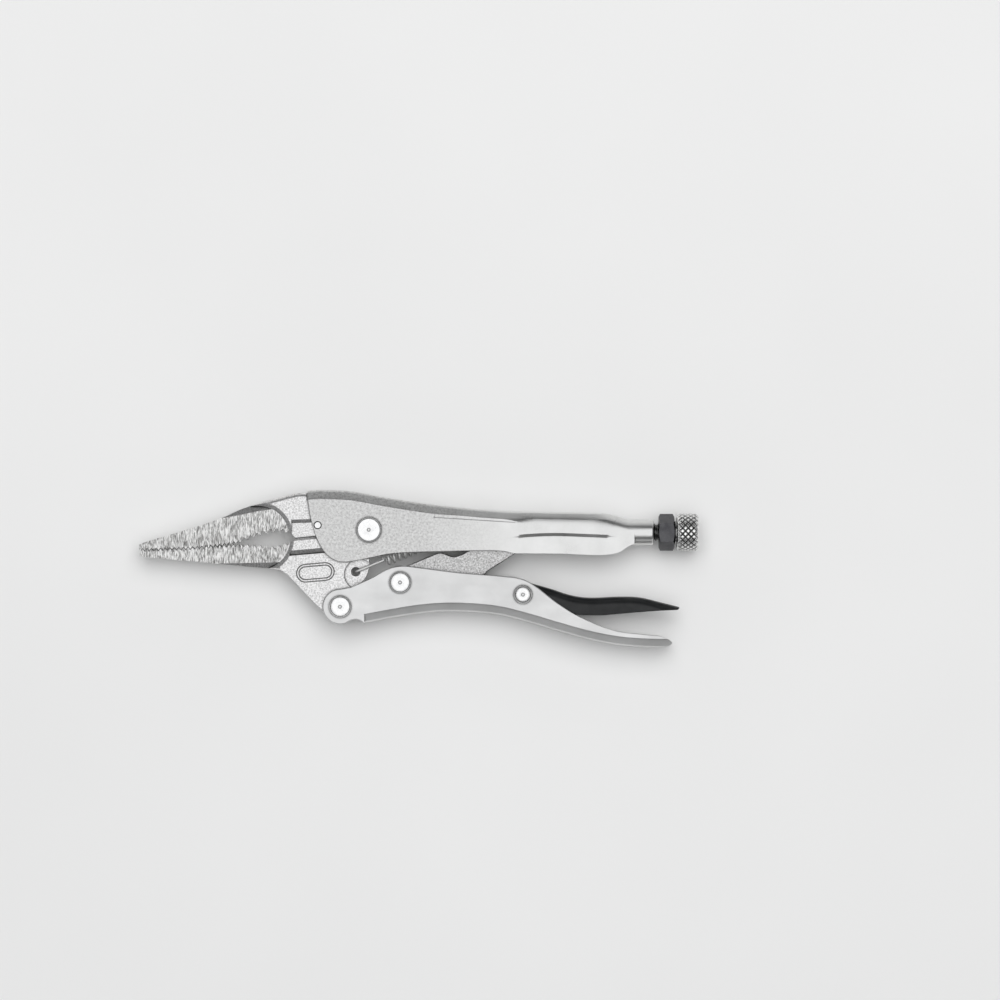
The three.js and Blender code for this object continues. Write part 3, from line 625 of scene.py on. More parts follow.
def forged_and_ground():
    """Forged jaw: sanded body, and a nose with short dense scratches across it."""
    s = Shader("forged_and_ground", Metallic=1.0)
    sand = s.noise(2300, 3, 0.7)
    fine = s.noise(6500, 2, 0.7)
    strokes = s.noise(3700, 3, 0.6, s.stretched((1.0, 0.16, 0.3), 0.06), 0.4)
    streaks = s.noise(5600, 2, 0.6, s.stretched((1.0, 0.14, 0.3), -0.09))
    patches = s.noise(420, 2)
    dx = s.maths("SUBTRACT", s.along("X"), row_x(DISH_X))
    dy = s.maths("SUBTRACT", s.along("Y"), row_y(-2.2))
    square = s.maths("ADD", s.maths("MULTIPLY", dx, dx), s.maths("MULTIPLY", dy, dy))
    round_end = s.between(s.maths("SQRT", square, 0.0), 0.0086, 0.0090, 1.0, 0.0)
    ahead = s.between(s.along("X"), row_x(-31.6), row_x(-30.9), 1.0, 0.0)
    nose = s.maths("MULTIPLY", s.maths("MAXIMUM", round_end, ahead), s.flatness(0.94, 0.98))
    both = s.maths(
        "ADD",
        s.maths("MULTIPLY", s.between(strokes, 0.38, 0.60), 0.62),
        s.maths("MULTIPLY", s.between(streaks, 0.38, 0.62), 0.38),
    )
    both = s.maths("ADD", both, s.spread(patches, -0.14, 0.14))
    ground = s.colours(s.between(both, 0.1, 0.78), (0.20, 0.197, 0.19), (1.0, 0.995, 0.98))
    body = s.colours(s.between(sand, 0.36, 0.60), (0.50, 0.495, 0.49), (0.88, 0.875, 0.87))
    # Painted shade: the colour is darkened in the teeth, the grooves and where the jaws meet other
    # parts.
    s.set("Base Color", s.painted_shade(s.colours(nose, body, ground)))
    s.set(
        "Roughness",
        s.maths(
            "ADD",
            s.spread(fine, 0.28, 0.38),
            s.maths("MULTIPLY", nose, s.spread(streaks, 0.0, 0.08)),
        ),
    )
    s.bump(s.maths("MULTIPLY", both, nose), 0.5, 0.00012)
    s.bump(s.maths("MULTIPLY", sand, s.maths("SUBTRACT", 1.0, nose)), 0.45, 0.00009)
    return s.material


def bright_rivet():
    """Bright formed rivet heads with a faint fine mottle."""
    s = Shader("bright_rivet", Metallic=1.0)
    broad = s.noise(900, 3)
    fine = s.noise(5200, 3, 0.7)
    # Painted shade: the colour is darkened where the head meets the sheet and in its small dimple.
    s.set("Base Color", s.painted_shade(s.toned(broad, (0.80, 0.80, 0.80), (0.92, 0.92, 0.91))))
    s.set("Roughness", s.spread(fine, 0.13, 0.24))
    s.bump(fine, 0.12, 0.00003)
    s.bump(broad, 0.2, 0.00008)
    return s.material


def black_oxide():
    """Black oxide on the release lever's sheet."""
    s = Shader("black_oxide", Metallic=0.0, Specular_IOR_Level=0.35)
    broad = s.noise(300, 3)
    fine = s.noise(4200, 3, 0.65)
    s.set("Base Color", s.toned(broad, (0.006, 0.0065, 0.007), (0.014, 0.015, 0.0155)))
    s.set("Roughness", s.spread(fine, 0.26, 0.38))
    s.bump(fine, 0.2, 0.00004)
    s.bump(broad, 0.12, 0.00015)
    return s.material


def dark_nut():
    """Black-oxide steel of the lock nut, a little glossier than the release lever."""
    s = Shader("dark_nut", Metallic=1.0)
    broad = s.noise(300, 3)
    fine = s.noise(4200, 3, 0.65)
    s.set("Base Color", s.toned(broad, (0.07, 0.07, 0.075), (0.12, 0.12, 0.125)))
    s.set("Roughness", s.spread(fine, 0.20, 0.30))
    s.bump(fine, 0.2, 0.00003)
    return s.material


def knurled_steel():
    """Bright plated steel with painted shade in the bottom of the knurl."""
    s = Shader("knurled_steel", Metallic=1.0)
    fine = s.noise(5000, 3, 0.65)
    smear = s.noise(700, 3)
    bright = s.toned(smear, (0.80, 0.80, 0.79), (0.93, 0.93, 0.92))
    # Painted shade: the colour is darkened deep in the knurl's valleys and round the neck.
    s.set("Base Color", s.painted_shade(bright, 0.0006, 0.05))
    s.set("Roughness", s.spread(fine, 0.18, 0.28))
    s.bump(fine, 0.2, 0.00003)
    return s.material


def bright_screw():
    """Plated turned steel with fine rings from the lathe."""
    s = Shader("bright_screw", Metallic=1.0)
    rings = s.noise(3000, 2, 0.5, s.stretched((1.0, 0.02, 0.02)))
    fine = s.noise(5000, 3, 0.65)
    bright = s.toned(fine, (0.50, 0.50, 0.49), (0.72, 0.72, 0.71))
    # Painted shade: the colour is darkened in the thread's roots and where the barrel and nut
    # close round it.
    s.set("Base Color", s.painted_shade(bright, 0.0012, 0.03))
    s.set("Roughness", s.spread(rings, 0.22, 0.34))
    s.bump(rings, 0.2, 0.00003)
    return s.material


def spring_wire():
    """Pale drawn wire with a satin surface."""
    s = Shader("spring_wire", Metallic=0.65)
    fine = s.noise(3800, 3, 0.65)
    s.set("Base Color", s.toned(fine, (0.86, 0.86, 0.85), (0.97, 0.97, 0.96)))
    s.set("Roughness", s.spread(fine, 0.46, 0.56))
    s.bump(fine, 0.15, 0.00003)
    return s.material


def floor_paint():
    """A plain pale surface."""
    s = Shader("floor_paint", Roughness=0.8)
    broad = s.noise(6, 3)
    fine = s.noise(900, 3)
    s.set("Base Color", s.toned(broad, (0.80, 0.80, 0.795), (0.83, 0.83, 0.825)))
    s.bump(fine, 0.1, 0.00005)
    return s.material


PLATED = plated_sheet()
SATIN = satin_sheet()
SANDED = sanded()
FORGED = forged_and_ground()
RIVET = bright_rivet()
BLACK = black_oxide()
SCREW = bright_screw()
WIRE = spring_wire()
NUT = dark_nut()
KNURL = knurled_steel()

# ---- Shared lines ----

handle_back = height(
    [
        (HANDLE_FRONT, 10.9), (-13.7, 11.16), (-5.2, 10.8), (3.2, 9.3), (14.4, 7.5),
        (25.6, 6.2), (36.9, 5.3), (HANDLE - 29.2, 4.9), (HANDLE - 15.2, 4.6),
        (HANDLE - 11, 4.0), (BARREL_START + 0.4, SCREW_Y + BARREL_RADIUS),
        (BARREL_START + 3, SCREW_Y + BARREL_RADIUS),
    ]
)


def handle_half(x):
    """Half of the handle's width, down to the barrel's radius at its end."""
    return lerp(OUTER_HALF, BARREL_RADIUS, smoothstep(x, BARREL_START - 13, BARREL_START + 0.4))


def handle_round(x):
    """How much of the handle's side its bends take up."""
    return lerp(BEND, handle_half(x), smoothstep(x, 37, 47))


def handle_bend(x):
    """The shape of the handle's bends: pressed in front, then crowned, round at the barrel."""
    pressed = mixed(PRESSED_BEND, CROWNED_BEND, smoothstep(x, 37, 47))
    return mixed(pressed, ROUND_BEND, smoothstep(x, BARREL_START - 10, BARREL_START - 1))


def along_nose(share):
    """X at a share of the way from the shoulder to the tips."""
    return lerp(SHOULDER_X, -NOSE, share)


UPPER_PARTING = (-20.8, -2.2)
LOWER_PARTING = (-20.8, -2.5)
PARTING_SLOPE = 0.093


def parting_angle(radius, start):
    """Where the line from a parting line's start meets a circle round the main pivot."""
    return math.pi + math.asin(-(start[1] - (radius + start[0]) * PARTING_SLOPE) / radius)


def nose_edge(x):
    """The rounding of a nose's back."""
    return lerp(0.6, 1.4, smoothstep(x, along_nose(0.55), along_nose(0.3)))


def teeth(outline, places, pitch, depth, valley_first=False):
    """Pointed teeth along a mouth line, with their tips on the line."""
    line = height(places)
    start, end = places[0][0], places[-1][0]
    count = round((end - start) / pitch)
    for i in range(count):
        for share in (0.03, 0.47, 0.53, 0.97):
            x = lerp(start, end, (i + share) / count)
            at_tip = abs(share - 0.5) > 0.25
            deep = 0.0 if at_tip != valley_first else depth
            outline.line(x, line(x) + deep)


def face_level(x):
    """How far the ground flat of a nose lies from the middle plane."""
    at_tip, at_shoulder = 1.75, 2.6
    return at_tip + (x + NOSE) * (at_shoulder - at_tip) / (NOSE + SHOULDER_X)


def nose_dish(centre, radius, side):
    """What the grinding takes off one side of a nose, with a sloped round shoulder."""
    levels = [(radius - 1.2, 0.0), (radius - 0.25, 0.52), (radius - 0.05, 0.68), (radius, 3.0)]
    beyond_tip = -NOSE - 6
    steps = 48
    rings = []
    for r, up in levels:
        ring = [(beyond_tip, centre[1] - r)]
        for i in range(steps + 1):
            a = -math.pi / 2 + math.pi * i / steps
            ring.append((centre[0] + r * math.cos(a), centre[1] + r * math.sin(a)))
        ring.append((beyond_tip, centre[1] + r))
        rings.append([(x, y, side * (face_level(x) + up)) for x, y in ring])
    return loft(rings)


def back_bevel(inner, centre, radius, side):
    """What the sloped flat along the back of a nose takes off, outside an inner line."""
    line = height(inner)
    reach_out = 7
    outward = math.copysign(reach_out, inner[0][1] - centre[1])
    steepness = 0.45
    rings = []
    for x in spaced(inner[0][0], inner[-1][0], 24):
        y, z = line(x), face_level(x)
        low_edge = z - reach_out * steepness
        section = [(y, z), (y + outward, low_edge), (y + outward, z + 4), (y, z + 4)]
        rings.append([(x, b, side * c) for b, c in section])
    reach = 25
    limit = pill((centre[0] - reach, centre[1]), 2 * (reach + radius), 2 * radius, 0, 32)
    return keep(loft(rings), plate(limit, 20))


# ---- Jaws ----


def upper_jaw():
    hollow = 7.5
    tang_end = math.radians(102)
    side = Outline(-NOSE, WIDE).line(-NOSE, -5.5)
    mouth = [(-NOSE + 0.3, -5.93), (along_nose(0.68), -5.43), (along_nose(0.5), -4.92)]
    teeth(side, mouth + [(along_nose(0.3), -3.5)], 1.3, 0.7)
    grip = [(along_nose(0.3), -3.4), (along_nose(0.2), -1.9), (along_nose(0.11), -0.9)]
    teeth(side, grip + [(-25.4, -0.5), (-22.6, -0.9), (-21.5, -1.4)], 1.85, 0.9)
    side.line(*UPPER_PARTING)
    side.arc((0, 0), hollow, parting_angle(hollow, UPPER_PARTING), tang_end)
    side.line(hollow * math.cos(tang_end), WIDE)
    back = height(
        [
            (-NOSE, -4.1), (along_nose(0.92), -3.0), (along_nose(0.64), 0.4),
            (along_nose(0.43), 3.3), (along_nose(0.3), 5.7), (along_nose(0.17), 7.5),
            (-27.7, 8.4), (-22.1, 9.9), (-19.3, 10.4), (HANDLE_FRONT, 10.3),
        ]
    )
    shoulder = HANDLE_FRONT - 0.3
    nose = arch_bar(spaced(-NOSE, shoulder, 60), back, -WIDE, lambda x: JAW_HALF, nose_edge)
    tang = arch_bar(
        spaced(shoulder - 1, 6, 24),
        lambda x: handle_back(x) - SHEET - 0.2,
        -WIDE,
        lambda x: JAW_HALF,
        lambda x: 1.4,
    )
    jaw = keep(join(nose, tang), plate(side, JAW_HALF, soft=FACET_SOFT))
    centre, radius = (DISH_X, -2.0), 9.9
    inner = [(-46, 2.5), (-41.7, 3.2), (-36.1, 4.2), (-31.9, 5.1), (-27.7, 5.7), (-23.0, 6.1)]
    for face in (1, -1):
        cut(jaw, nose_dish(centre, radius, face), back_bevel(inner, centre, radius - 1.2, face))
    cut(jaw, bore(LOCATING_PIN, PIN_BORE))
    # A flat band each side of the parting line, a little below the body
    band, over = 2.8, JAW_HALF + 1
    section = [(0.1, over), (0.1, JAW_HALF), (-0.9, band), (-9, band), (-9, over)]
    for face in (1, -1):
        cut(jaw, groove((-21.9, 2.75), (-10.0, 3.05), section, face))
    return smoothed(jaw)


def lower_jaw():
    side = Outline(-NOSE + 0.1, -WIDE).line(-NOSE + 0.1, -6.6)
    mouth = [(-NOSE + 0.3, -5.57), (along_nose(0.68), -5.09), (along_nose(0.5), -4.58)]
    teeth(side, mouth + [(along_nose(0.3), -4.2)], 1.3, -0.7, valley_first=True)
    grip = [(along_nose(0.3), -4.1), (along_nose(0.19), -4.3), (along_nose(0.09), -4.7)]
    teeth(side, grip + [(-26.0, -4.6), (-23.6, -3.8), (-22.0, -3.3)], 1.85, -0.8)
    side.line(*LOWER_PARTING)
    hub, arm = 7.2, 4.5
    side.arc((0, 0), hub, parting_angle(hub, LOWER_PARTING), math.radians(-50))
    side.line(0.1, -8.0).through([(-0.3, -11.4), (-1.3, -13.8), (-3.0, -15.3), (-5.0, -16.2)])
    side.line(LEVER_PIVOT[0] + arm, LEVER_PIVOT[1] + 2.2)
    side.arc(LEVER_PIVOT, arm, 0, 0.55 - math.pi)
    side.line(-15.9, -20.1).through([(-18.2, -17.7), (-20.6, -15.1), (-23.2, -12.5)])
    side.quad((-24.4, -11.6), (-25.2, -11.35)).line(-25.2, -WIDE)
    back = height(
        [
            (-NOSE, -7.4), (along_nose(0.92), -7.9), (along_nose(0.64), -8.9),
            (along_nose(0.3), -10.2), (-27.7, -11.0), (-25.2, -11.4),
        ]
    )
    nose = arch_bar(spaced(-NOSE, -25, 48), back, WIDE, lambda x: JAW_HALF, nose_edge)
    body = block((-25.1, -WIDE, -JAW_HALF), (8.2, WIDE, JAW_HALF))
    jaw = keep(join(nose, body), plate(side, JAW_HALF, soft=FACET_SOFT))
    centre, radius = (DISH_X, -2.4), 10.2
    inner = [(-46, -9.7), (-40.3, -9.5), (-34.0, -9.35), (-27.7, -9.2), (-23.0, -9.0)]
    over = JAW_HALF + 1
    chamfer = [(1, over), (1, 2.2), (0, 2.75), (-0.75, JAW_HALF), (-0.75, over)]
    step = [(1.0, over), (1.0, JAW_HALF), (-0.3, 2.6), (-0.5, JAW_HALF), (-0.5, over)]
    tilt, sunk_to = math.radians(5), 2.92
    for face in (1, -1):
        cut(jaw, nose_dish(centre, radius, face), back_bevel(inner, centre, radius - 1.2, face))
        beside_ear = plate(circle((-2.7, -12.6), 4.4, 64), 6.6, low=EAR_HALF)
        cut(jaw, faced(beside_ear, face))
        cut(jaw, groove((-21.6, -2.45), (-12, -1.55), chamfer, face))
        cut(jaw, groove((-22.4, -6.9), (-9.0, -5.75), step, face))
        # An empty oblong panel: a raised rim with a sunk line on each side of it
        trench, outer, ridge, heart = (
            pill((-15.1, -12.0), 10.9 - d, 5.3 - d, tilt) for d in (0.0, 0.66, 1.35, 2.05)
        )
        sunk = cut(plate(trench, 5, sunk_to), plate(outer, 6, 2.5))
        join(sunk, cut(plate(ridge, 5, sunk_to), plate(heart, 6, 2.5)))
        cut(jaw, faced(sunk, face))
    cut(jaw, bore(SPRING_HOLE, EAR_HOLE), bore((0, 0), MAIN_BORE), bore(LEVER_PIVOT, RIVET_BORE))
    return smoothed(jaw)


# ---- Handle, lever, release lever, link ----


def upper_handle():
    side = Outline(HANDLE_FRONT, WIDE).line(HANDLE_FRONT, 9.0)
    side.through(
        [
            (-17.0, 6.5), (-16.3, 2.8), (-15.0, -1.7), (-13.0, -5.6), (-10.3, -8.2),
            (-6.7, -9.1), (-0.5, -8.1), (6.0, -6.8), (14.4, -6.3), (34.0, -5.9), (41.0, -6.6),
        ]
    )
    side.line(HANDLE - 26, -6.7)
    side.through(
        [
            (HANDLE - 15.2, -7.1), (HANDLE - 10.2, -6.5),
            (BARREL_START, SCREW_Y - BARREL_RADIUS - 0.5),
            (BARREL_START + 2, SCREW_Y - BARREL_RADIUS + 0.5),
        ]
    )
    side.line(BARREL_START + 2, WIDE)

    line = height([(36, -3.4), (41, -1.6), (50.9, -0.9), (62, -1.2), (73, -1.7), (80, -1.8)])

    def crease(x):
        return min(line(x), handle_back(x) - handle_round(x) - 0.05)

    def skirt(x, y, half):
        """The sides step in below the crease behind the middle of the handle."""
        step_in, run = 0.45, 0.9
        deep = step_in * smoothstep(x, 38, 44) * (1 - smoothstep(x, 66, 71))
        return half - deep * min(max((crease(x) - y) / run, 0.0), 1.0)

    shell = arch_bar(
        spaced(HANDLE_FRONT, 36, 44) + spaced(37, BARREL_START + 2, 48),
        handle_back,
        -WIDE,
        handle_half,
        handle_round,
        steps=16,
        side=skirt,
        waist=crease,
        bend=handle_bend,
    )
    hollow = arch_bar(
        [HANDLE_FRONT - 6] + spaced(-15, 36, 40) + spaced(37, BARREL_START, 44),
        lambda x: handle_back(x) - SHEET,
        -WIDE - 6,
        lambda x: handle_half(x) - SHEET,
        lambda x: handle_round(x) - SHEET,
        steps=12,
    )
    body = keep(cut(shell, hollow), plate(side, OUTER_HALF, soft=SHEET_SOFT))
    rim = BARREL_RADIUS
    barrel = turned(
        [
            (BARREL_START - 1, rim), (HANDLE - 0.35, rim), (HANDLE - 0.1, rim - 0.12),
            (HANDLE, rim - 0.35),
        ]
    )
    join(body, barrel)
    tab_side = 2.2
    start = SPRING_REAR[0] + SHEET
    cut(
        body,
        block(
            (start, SPRING_REAR[1] + 2, -tab_side),
            (start + handle_back(start) - SPRING_REAR[1] + 2, 20, tab_side),
        ),
    )
    tab = block(
        (SPRING_REAR[0], SPRING_REAR[1] - 2, -tab_side),
        (start, handle_back(SPRING_REAR[0]) - SHEET / 2, tab_side),
    )
    join(body, cut(tab, turned([(20, 0.85), (35, 0.85)], 32, SPRING_REAR[1])))
    screw_bore = turned(
        [
            (BARREL_START - 6, THREAD_BORE), (HANDLE - 0.4, THREAD_BORE),
            (HANDLE + 0.2, BORE_MOUTH),
        ]
    )
    cut(body, screw_bore, bore((0, 0), MAIN_BORE), bore(LOCATING_PIN, PIN_BORE))
    # A long bar pressed into the side, left blank
    edge, sunk = OUTER_HALF, OUTER_HALF - 0.16
    one_side = [(0.62, edge + 1), (0.62, edge), (0.4, sunk)]
    section = one_side + [(-across, z) for across, z in reversed(one_side)]
    for face in (1, -1):
        cut(body, groove((18.3, 4.0), (41.2, 2.55), section, face))
    return smoothed(body)


def lever_piece():
    web = -1.3
    back = height(
        [
            (web, -26.2), (11.6, -23.9), (20.0, -23.05), (28.0, -23.1), (36.9, -24.0),
            (45.3, -26.1), (53.7, -28.6), (LEVER - 23.3, -30.9), (LEVER - 14.9, -32.5),
            (LEVER - 6.4, -33.15), (LEVER, -33.15),
        ]
    )

    def half(x):
        return OUTER_HALF - 0.6 * smoothstep(x, 50, LEVER)

    side = Outline(web, -WIDE).line(LEVER - 4, -WIDE).line(LEVER - 4, -33.2)
    side.through(
        [
            (LEVER - 1.6, -32.9), (LEVER - 0.1, -31.9), (LEVER - 1.4, -30.8),
            (LEVER - 3.6, -30.0),
        ]
    )
    side.through(
        [
            (LEVER - 9, -29.5), (LEVER - 14.9, -28.8), (64.9, -27.1), (57.9, -23.8),
            (52.3, -20.1), (46.9, -15.9), (42.7, -13.8), (36.9, -13.0), (25.6, -12.1),
            (14.4, -10.7), (9.3, -10.2), (5.2, -11.1), (0.4, -13.7), (-5.2, -16.2),
        ]
    )
    eye = 4.9
    side.line(LEVER_PIVOT[0], LEVER_PIVOT[1] + eye)
    side.arc(LEVER_PIVOT, eye, math.pi / 2, 1.6 * math.pi)
    side.through([(-5.2, -25.5), (-3.6, -25.2), (-2.2, -25.6), (web, -26.6)])
    stations = spaced(web - 0.1, 58, 56) + spaced(59, LEVER, 28)
    shell = arch_bar(stations, back, WIDE, half, lambda x: BEND, 16, bend=lambda x: PRESSED_BEND)
    hollow = arch_bar(
        [web - 6] + stations + [LEVER + 6],
        lambda x: back(x) + SHEET,
        WIDE + 6,
        lambda x: half(x) - SHEET,
        lambda x: BEND - SHEET,
    )
    cheeks = block((LEVER_PIVOT[0] - 6, -WIDE, -OUTER_HALF), (web, WIDE, OUTER_HALF))
    gap = block((LEVER_PIVOT[0] - 12, -WIDE - 6, -CHANNEL_HALF), (web, WIDE, CHANNEL_HALF))
    whole = keep(join(shell, cheeks), plate(side, OUTER_HALF, soft=SHEET_SOFT))
    cut(whole, hollow, gap)
    cut(whole, bore(LEVER_PIVOT, RIVET_BORE), bore(LINK_PIVOT, RIVET_BORE))
    cut(whole, bore(RELEASE_PIVOT, RELEASE_BORE))
    return smoothed(whole)


def release_lever():
    half = CHANNEL_HALF - 0.34  # clear of the lever's walls, which close in behind
    wall = 1.2
    back = height(
        [
            (32.6, -14.3), (38.0, -14.9), (43.0, -14.6), (50.9, -16.6), (56.5, -18.4),
            (62.1, -19.2), (RELEASE - 17, -18.9), (RELEASE - 11.2, -19.1),
            (RELEASE - 5.6, -20.4), (RELEASE, -21.8),
        ]
    )
    side = Outline(33.0, WIDE).line(33.0, -15.6)
    side.through([(34.2, -16.6), (37.5, -17.6), (40.6, -18.6)])
    side.arc(RELEASE_PIVOT, 2.8, math.pi * 1.06, math.pi * 1.6)
    side.through(
        [
            (50.5, -22.2), (57.5, -23.8), (64.9, -24.1), (RELEASE - 17, -23.7),
            (RELEASE - 7, -22.9), (RELEASE - 0.6, -22.6),
        ]
    )
    side.line(RELEASE, -22.2).line(RELEASE, WIDE)
    whole = arch_bar(
        spaced(32.6, 44.6, 16) + spaced(45.4, RELEASE, 48),
        back,
        -WIDE,
        lambda x: half,
        lambda x: BEND,
    )
    hollow = arch_bar(
        spaced(RELEASE_PIVOT[0] + 3.8, RELEASE - 8, 40),
        lambda x: back(x) - wall,
        -WIDE - 6,
        lambda x: half - wall,
        lambda x: BEND - wall,
    )
    keep(whole, plate(side, half, soft=0.2))
    cut(whole, hollow, bore(RELEASE_PIVOT, RELEASE_BORE))
    return smoothed(whole)


def toggle_link():
    eye, first = 4.6, math.pi / 2 - 0.3
    side = Outline(
        LINK_PIVOT[0] + eye * math.cos(first),
        LINK_PIVOT[1] + eye * math.sin(first),
    )
    side.arc(LINK_PIVOT, eye, first, 1.56 * math.pi)
    side.line(31.4, -13.1).quad((32.6, -12.9), (33.2, -11.8)).line(41.1, -6.8).line(45.2, -3.6)
    side.quad((LINK_TIP[0], -2.4), LINK_TIP).quad((LINK_TIP[0], 1.0), (LINK_TIP[0] - 2.2, 1.2))
    side.line(28.2, -5.7)
    side.through([(26.2, -6.9), (23.7, -7.6), (21.6, -6.9), (20.0, -6.5), (18.4, -6.9)])
    return smoothed(cut(plate(side, 2.8, soft=0.35), bore(LINK_PIVOT, RIVET_BORE)))


# ---- Rivets, pin, screw, nut, knob, spring ----


def rivet(centre, shank, head):
    """A shank with a low dome on both sides, a little flattened in the middle."""
    seat = OUTER_HALF + 0.1
    crown = seat + 1.25
    dome = [(head, seat), (head, seat + 0.4), (head - 0.07, seat + 0.62), (head - 0.2, seat + 0.8)]
    shelf = head - 0.34
    for i in range(13):
        t = i / 12
        dome.append((lerp(shelf, 0.6, t), lerp(crown, seat + 0.91, (1 - t) ** 2)))
    dome += [(0.52, crown - 0.04), (0.4, crown - 0.2), (0.2, crown - 0.24)]
    profile = [(shank, seat)] + dome
    upper = [(z, r) for r, z in profile]
    lower_half = [(-z, r) for z, r in reversed(upper)]
    return smoothed(standing(centre, lower_half + upper, 64), crisp=50)


def pin():
    """A plain pin with chamfered ends."""
    half, chamfer = OUTER_HALF - 0.1, 0.16
    levels = [(-half, 0.82), (-half + chamfer, 1.0), (half - chamfer, 1.0), (half, 0.82)]
    return smoothed(standing(LOCATING_PIN, levels, 40), crisp=50)


def swept(radius_at, stations, steps):
    """A round surface on the screw's axis whose radius depends on place and angle."""
    rings = []
    for x in stations:
        ring = []
        for i in range(steps):
            a = 2 * math.pi * i / steps
            r = radius_at(x, a)
            ring.append((x, SCREW_Y + r * math.cos(a), r * math.sin(a)))
        rings.append(ring)
    return loft(rings)


def wave(t):
    """A triangle wave from 0 to 1 with a period of 1."""
    t = t % 1.0
    return 1 - abs(2 * t - 1)


def screw():
    """A threaded rod from the link's tip, with a plain spigot inside the knob."""
    depth, lead_in = 0.42, 0.4
    start, thread_end = LINK_TIP[0] + 1.3, NUT_X + 4.3
    spigot_radius, spigot_end = 1.8, KNOB_X + 3.5

    def radius_at(x, a):
        lead = smoothstep(x, start, start + 0.5)
        top = THREAD_RADIUS - lead_in * (1 - lead)
        flank = 1.25 * wave(x / THREAD_PITCH - a / 2 / math.pi) - 0.12
        return top - depth * (1 - min(1.0, max(0.0, flank)))

    stations = spaced(start, thread_end, 360)
    thread = swept(radius_at, stations, 40)
    spigot = turned(
        [
            (thread_end - 0.3, spigot_radius), (spigot_end, spigot_radius),
            (spigot_end + 0.1, spigot_radius - 0.1),
        ],
        40,
    )
    return smoothed(join(thread, spigot), crisp=60)


def knob():
    """The round head with its diamond knurl, rounded corners and a neck towards the nut."""
    corner, corner_steps = 1.2, 6
    knurls, knurl_length, knurl_depth = 19, 1.6, 0.45
    flank = 3.0  # the higher, the narrower the grooves

    def radius_at(x, a):
        turn = a / 2 / math.pi * knurls
        run = (x - KNOB_X) / knurl_length
        valley = min(wave(turn + run), wave(turn - run))
        fall = 0.0
        for edge, sign in ((KNOB_X, 1), (KNOB_END, -1)):
            d = (x - edge) * sign
            if d < corner:
                rest = max(0.0, corner**2 - (corner - d) ** 2)
                fall = max(fall, corner - math.sqrt(rest))
        fade = 1 - min(1.0, fall / 0.5)
        return KNOB_RADIUS - fall - knurl_depth * (1 - min(1.0, valley * flank)) * fade

    stations = [KNOB_X, KNOB_END] + spaced(KNOB_X + corner, KNOB_END - corner, 44)
    for i in range(1, corner_steps):
        a = math.pi / 2 * i / corner_steps
        stations.append(KNOB_X + corner * (1 - math.cos(a)))
        stations.append(KNOB_END - corner * (1 - math.sin(a)))
    stations = sorted(set(round(x, 4) for x in stations))
    body = swept(radius_at, stations, 320)
    neck = turned([(NECK_X, 3.05), (NECK_X + 0.15, 3.2), (KNOB_X + 0.3, 3.2)], 48)
    dish = turned([(KNOB_END - 0.18, 2.6), (KNOB_END + 0.2, 3.2)], 48)
    socket = turned([(NECK_X - 0.2, 1.95), (KNOB_X + 3.9, 1.95)], 40)
    return smoothed(cut(join(body, neck), dish, socket), crisp=50)


def lock_nut():
    corner = NUT_ACROSS_FLATS / math.sqrt(3)
    end = NUT_X + NUT_LENGTH
    chamfer, rise = 0.75, 0.42
    hexagon = turned([(NUT_X, corner), (end, corner)], 6)
    cone = turned(
        [
            (NUT_X, corner - chamfer), (NUT_X + rise, corner + 0.02),
            (end - rise, corner + 0.02), (end, corner - chamfer),
        ],
        96,
    )
    lead = 0.4
    hole = turned(
        [
            (NUT_X - 0.1, BORE_MOUTH), (NUT_X + lead, THREAD_BORE), (end - lead, THREAD_BORE),
            (end + 0.1, BORE_MOUTH),
        ]
    )
    return smoothed(cut(keep(hexagon, cone), hole))


def spring():
    """The real helix, from the hook in the jaw's ear to the hook in the handle's tab."""
    hole, rear = Vector(SPRING_HOLE), Vector(SPRING_REAR)
    along = (rear - hole).normalized()
    left = Vector((-along.y, along.x))

    def spot(u, v, z):
        q = hole + along * u + left * v
        return Vector((q.x, q.y, z))

    gap, bend, bend_steps = 0.3, 1.2, 6
    hook = EAR_HALF + WIRE_RADIUS + gap
    path = [spot(0, 0, -hook), spot(0, 0, -0.6), spot(0, 0, 0.5)]
    for i in range(1, bend_steps + 1):
        a = math.pi / 2 * i / bend_steps
        path.append(spot(bend * (1 - math.cos(a)), 0, hook - bend * (1 - math.sin(a))))
    path += [spot(3.6, 0.0, hook), spot(5.8, 0.05, hook - 0.02)]
    start, length, radius, turns, steps = 8.4, 20.8, 1.62, 13, 28
    for i in range(turns * steps + 1):
        a = 2 * math.pi * i / steps
        grow = smoothstep(i, 0, steps * 0.5)
        up = lerp(hook, radius, grow) if i < steps / 2 else radius
        run = start + length * i / steps / turns
        path.append(spot(run, radius * math.sin(a), up * math.cos(a)))
    behind = rear.x + SHEET + gap + WIRE_RADIUS
    path += [spot(start + length + 0.9, 0.25, 0.8)]
    path += [Vector((rear.x - 0.8, rear.y - 0.05, 0.15)), Vector((rear.x, rear.y, 0))]
    turn, turn_steps = 0.55, 5
    path += [Vector((behind - turn, rear.y, 0))]
    for i in range(1, turn_steps + 1):
        a = math.pi / 2 * i / turn_steps
        x = behind - turn + turn * math.sin(a)
        path.append(Vector((x, rear.y - turn * (1 - math.cos(a)), 0)))
    path.append(Vector((behind, rear.y - 1.8, 0)))

    sides = 12
    normal = Vector((1, 0, 0))
    rings = []
    for i, p in enumerate(path):
        ahead = path[min(i + 1, len(path) - 1)]
        before = path[max(i - 1, 0)]
        tangent = (ahead - before).normalized()
        normal = (normal - tangent * normal.dot(tangent)).normalized()
        across = tangent.cross(normal)
        ring = []
        for k in range(sides):
            a = 2 * math.pi * k / sides
            ring.append(p + (normal * math.cos(a) + across * math.sin(a)) * WIRE_RADIUS)
        rings.append(ring)
    return smoothed(loft(rings), crisp=60)


# ---- Assembly ----

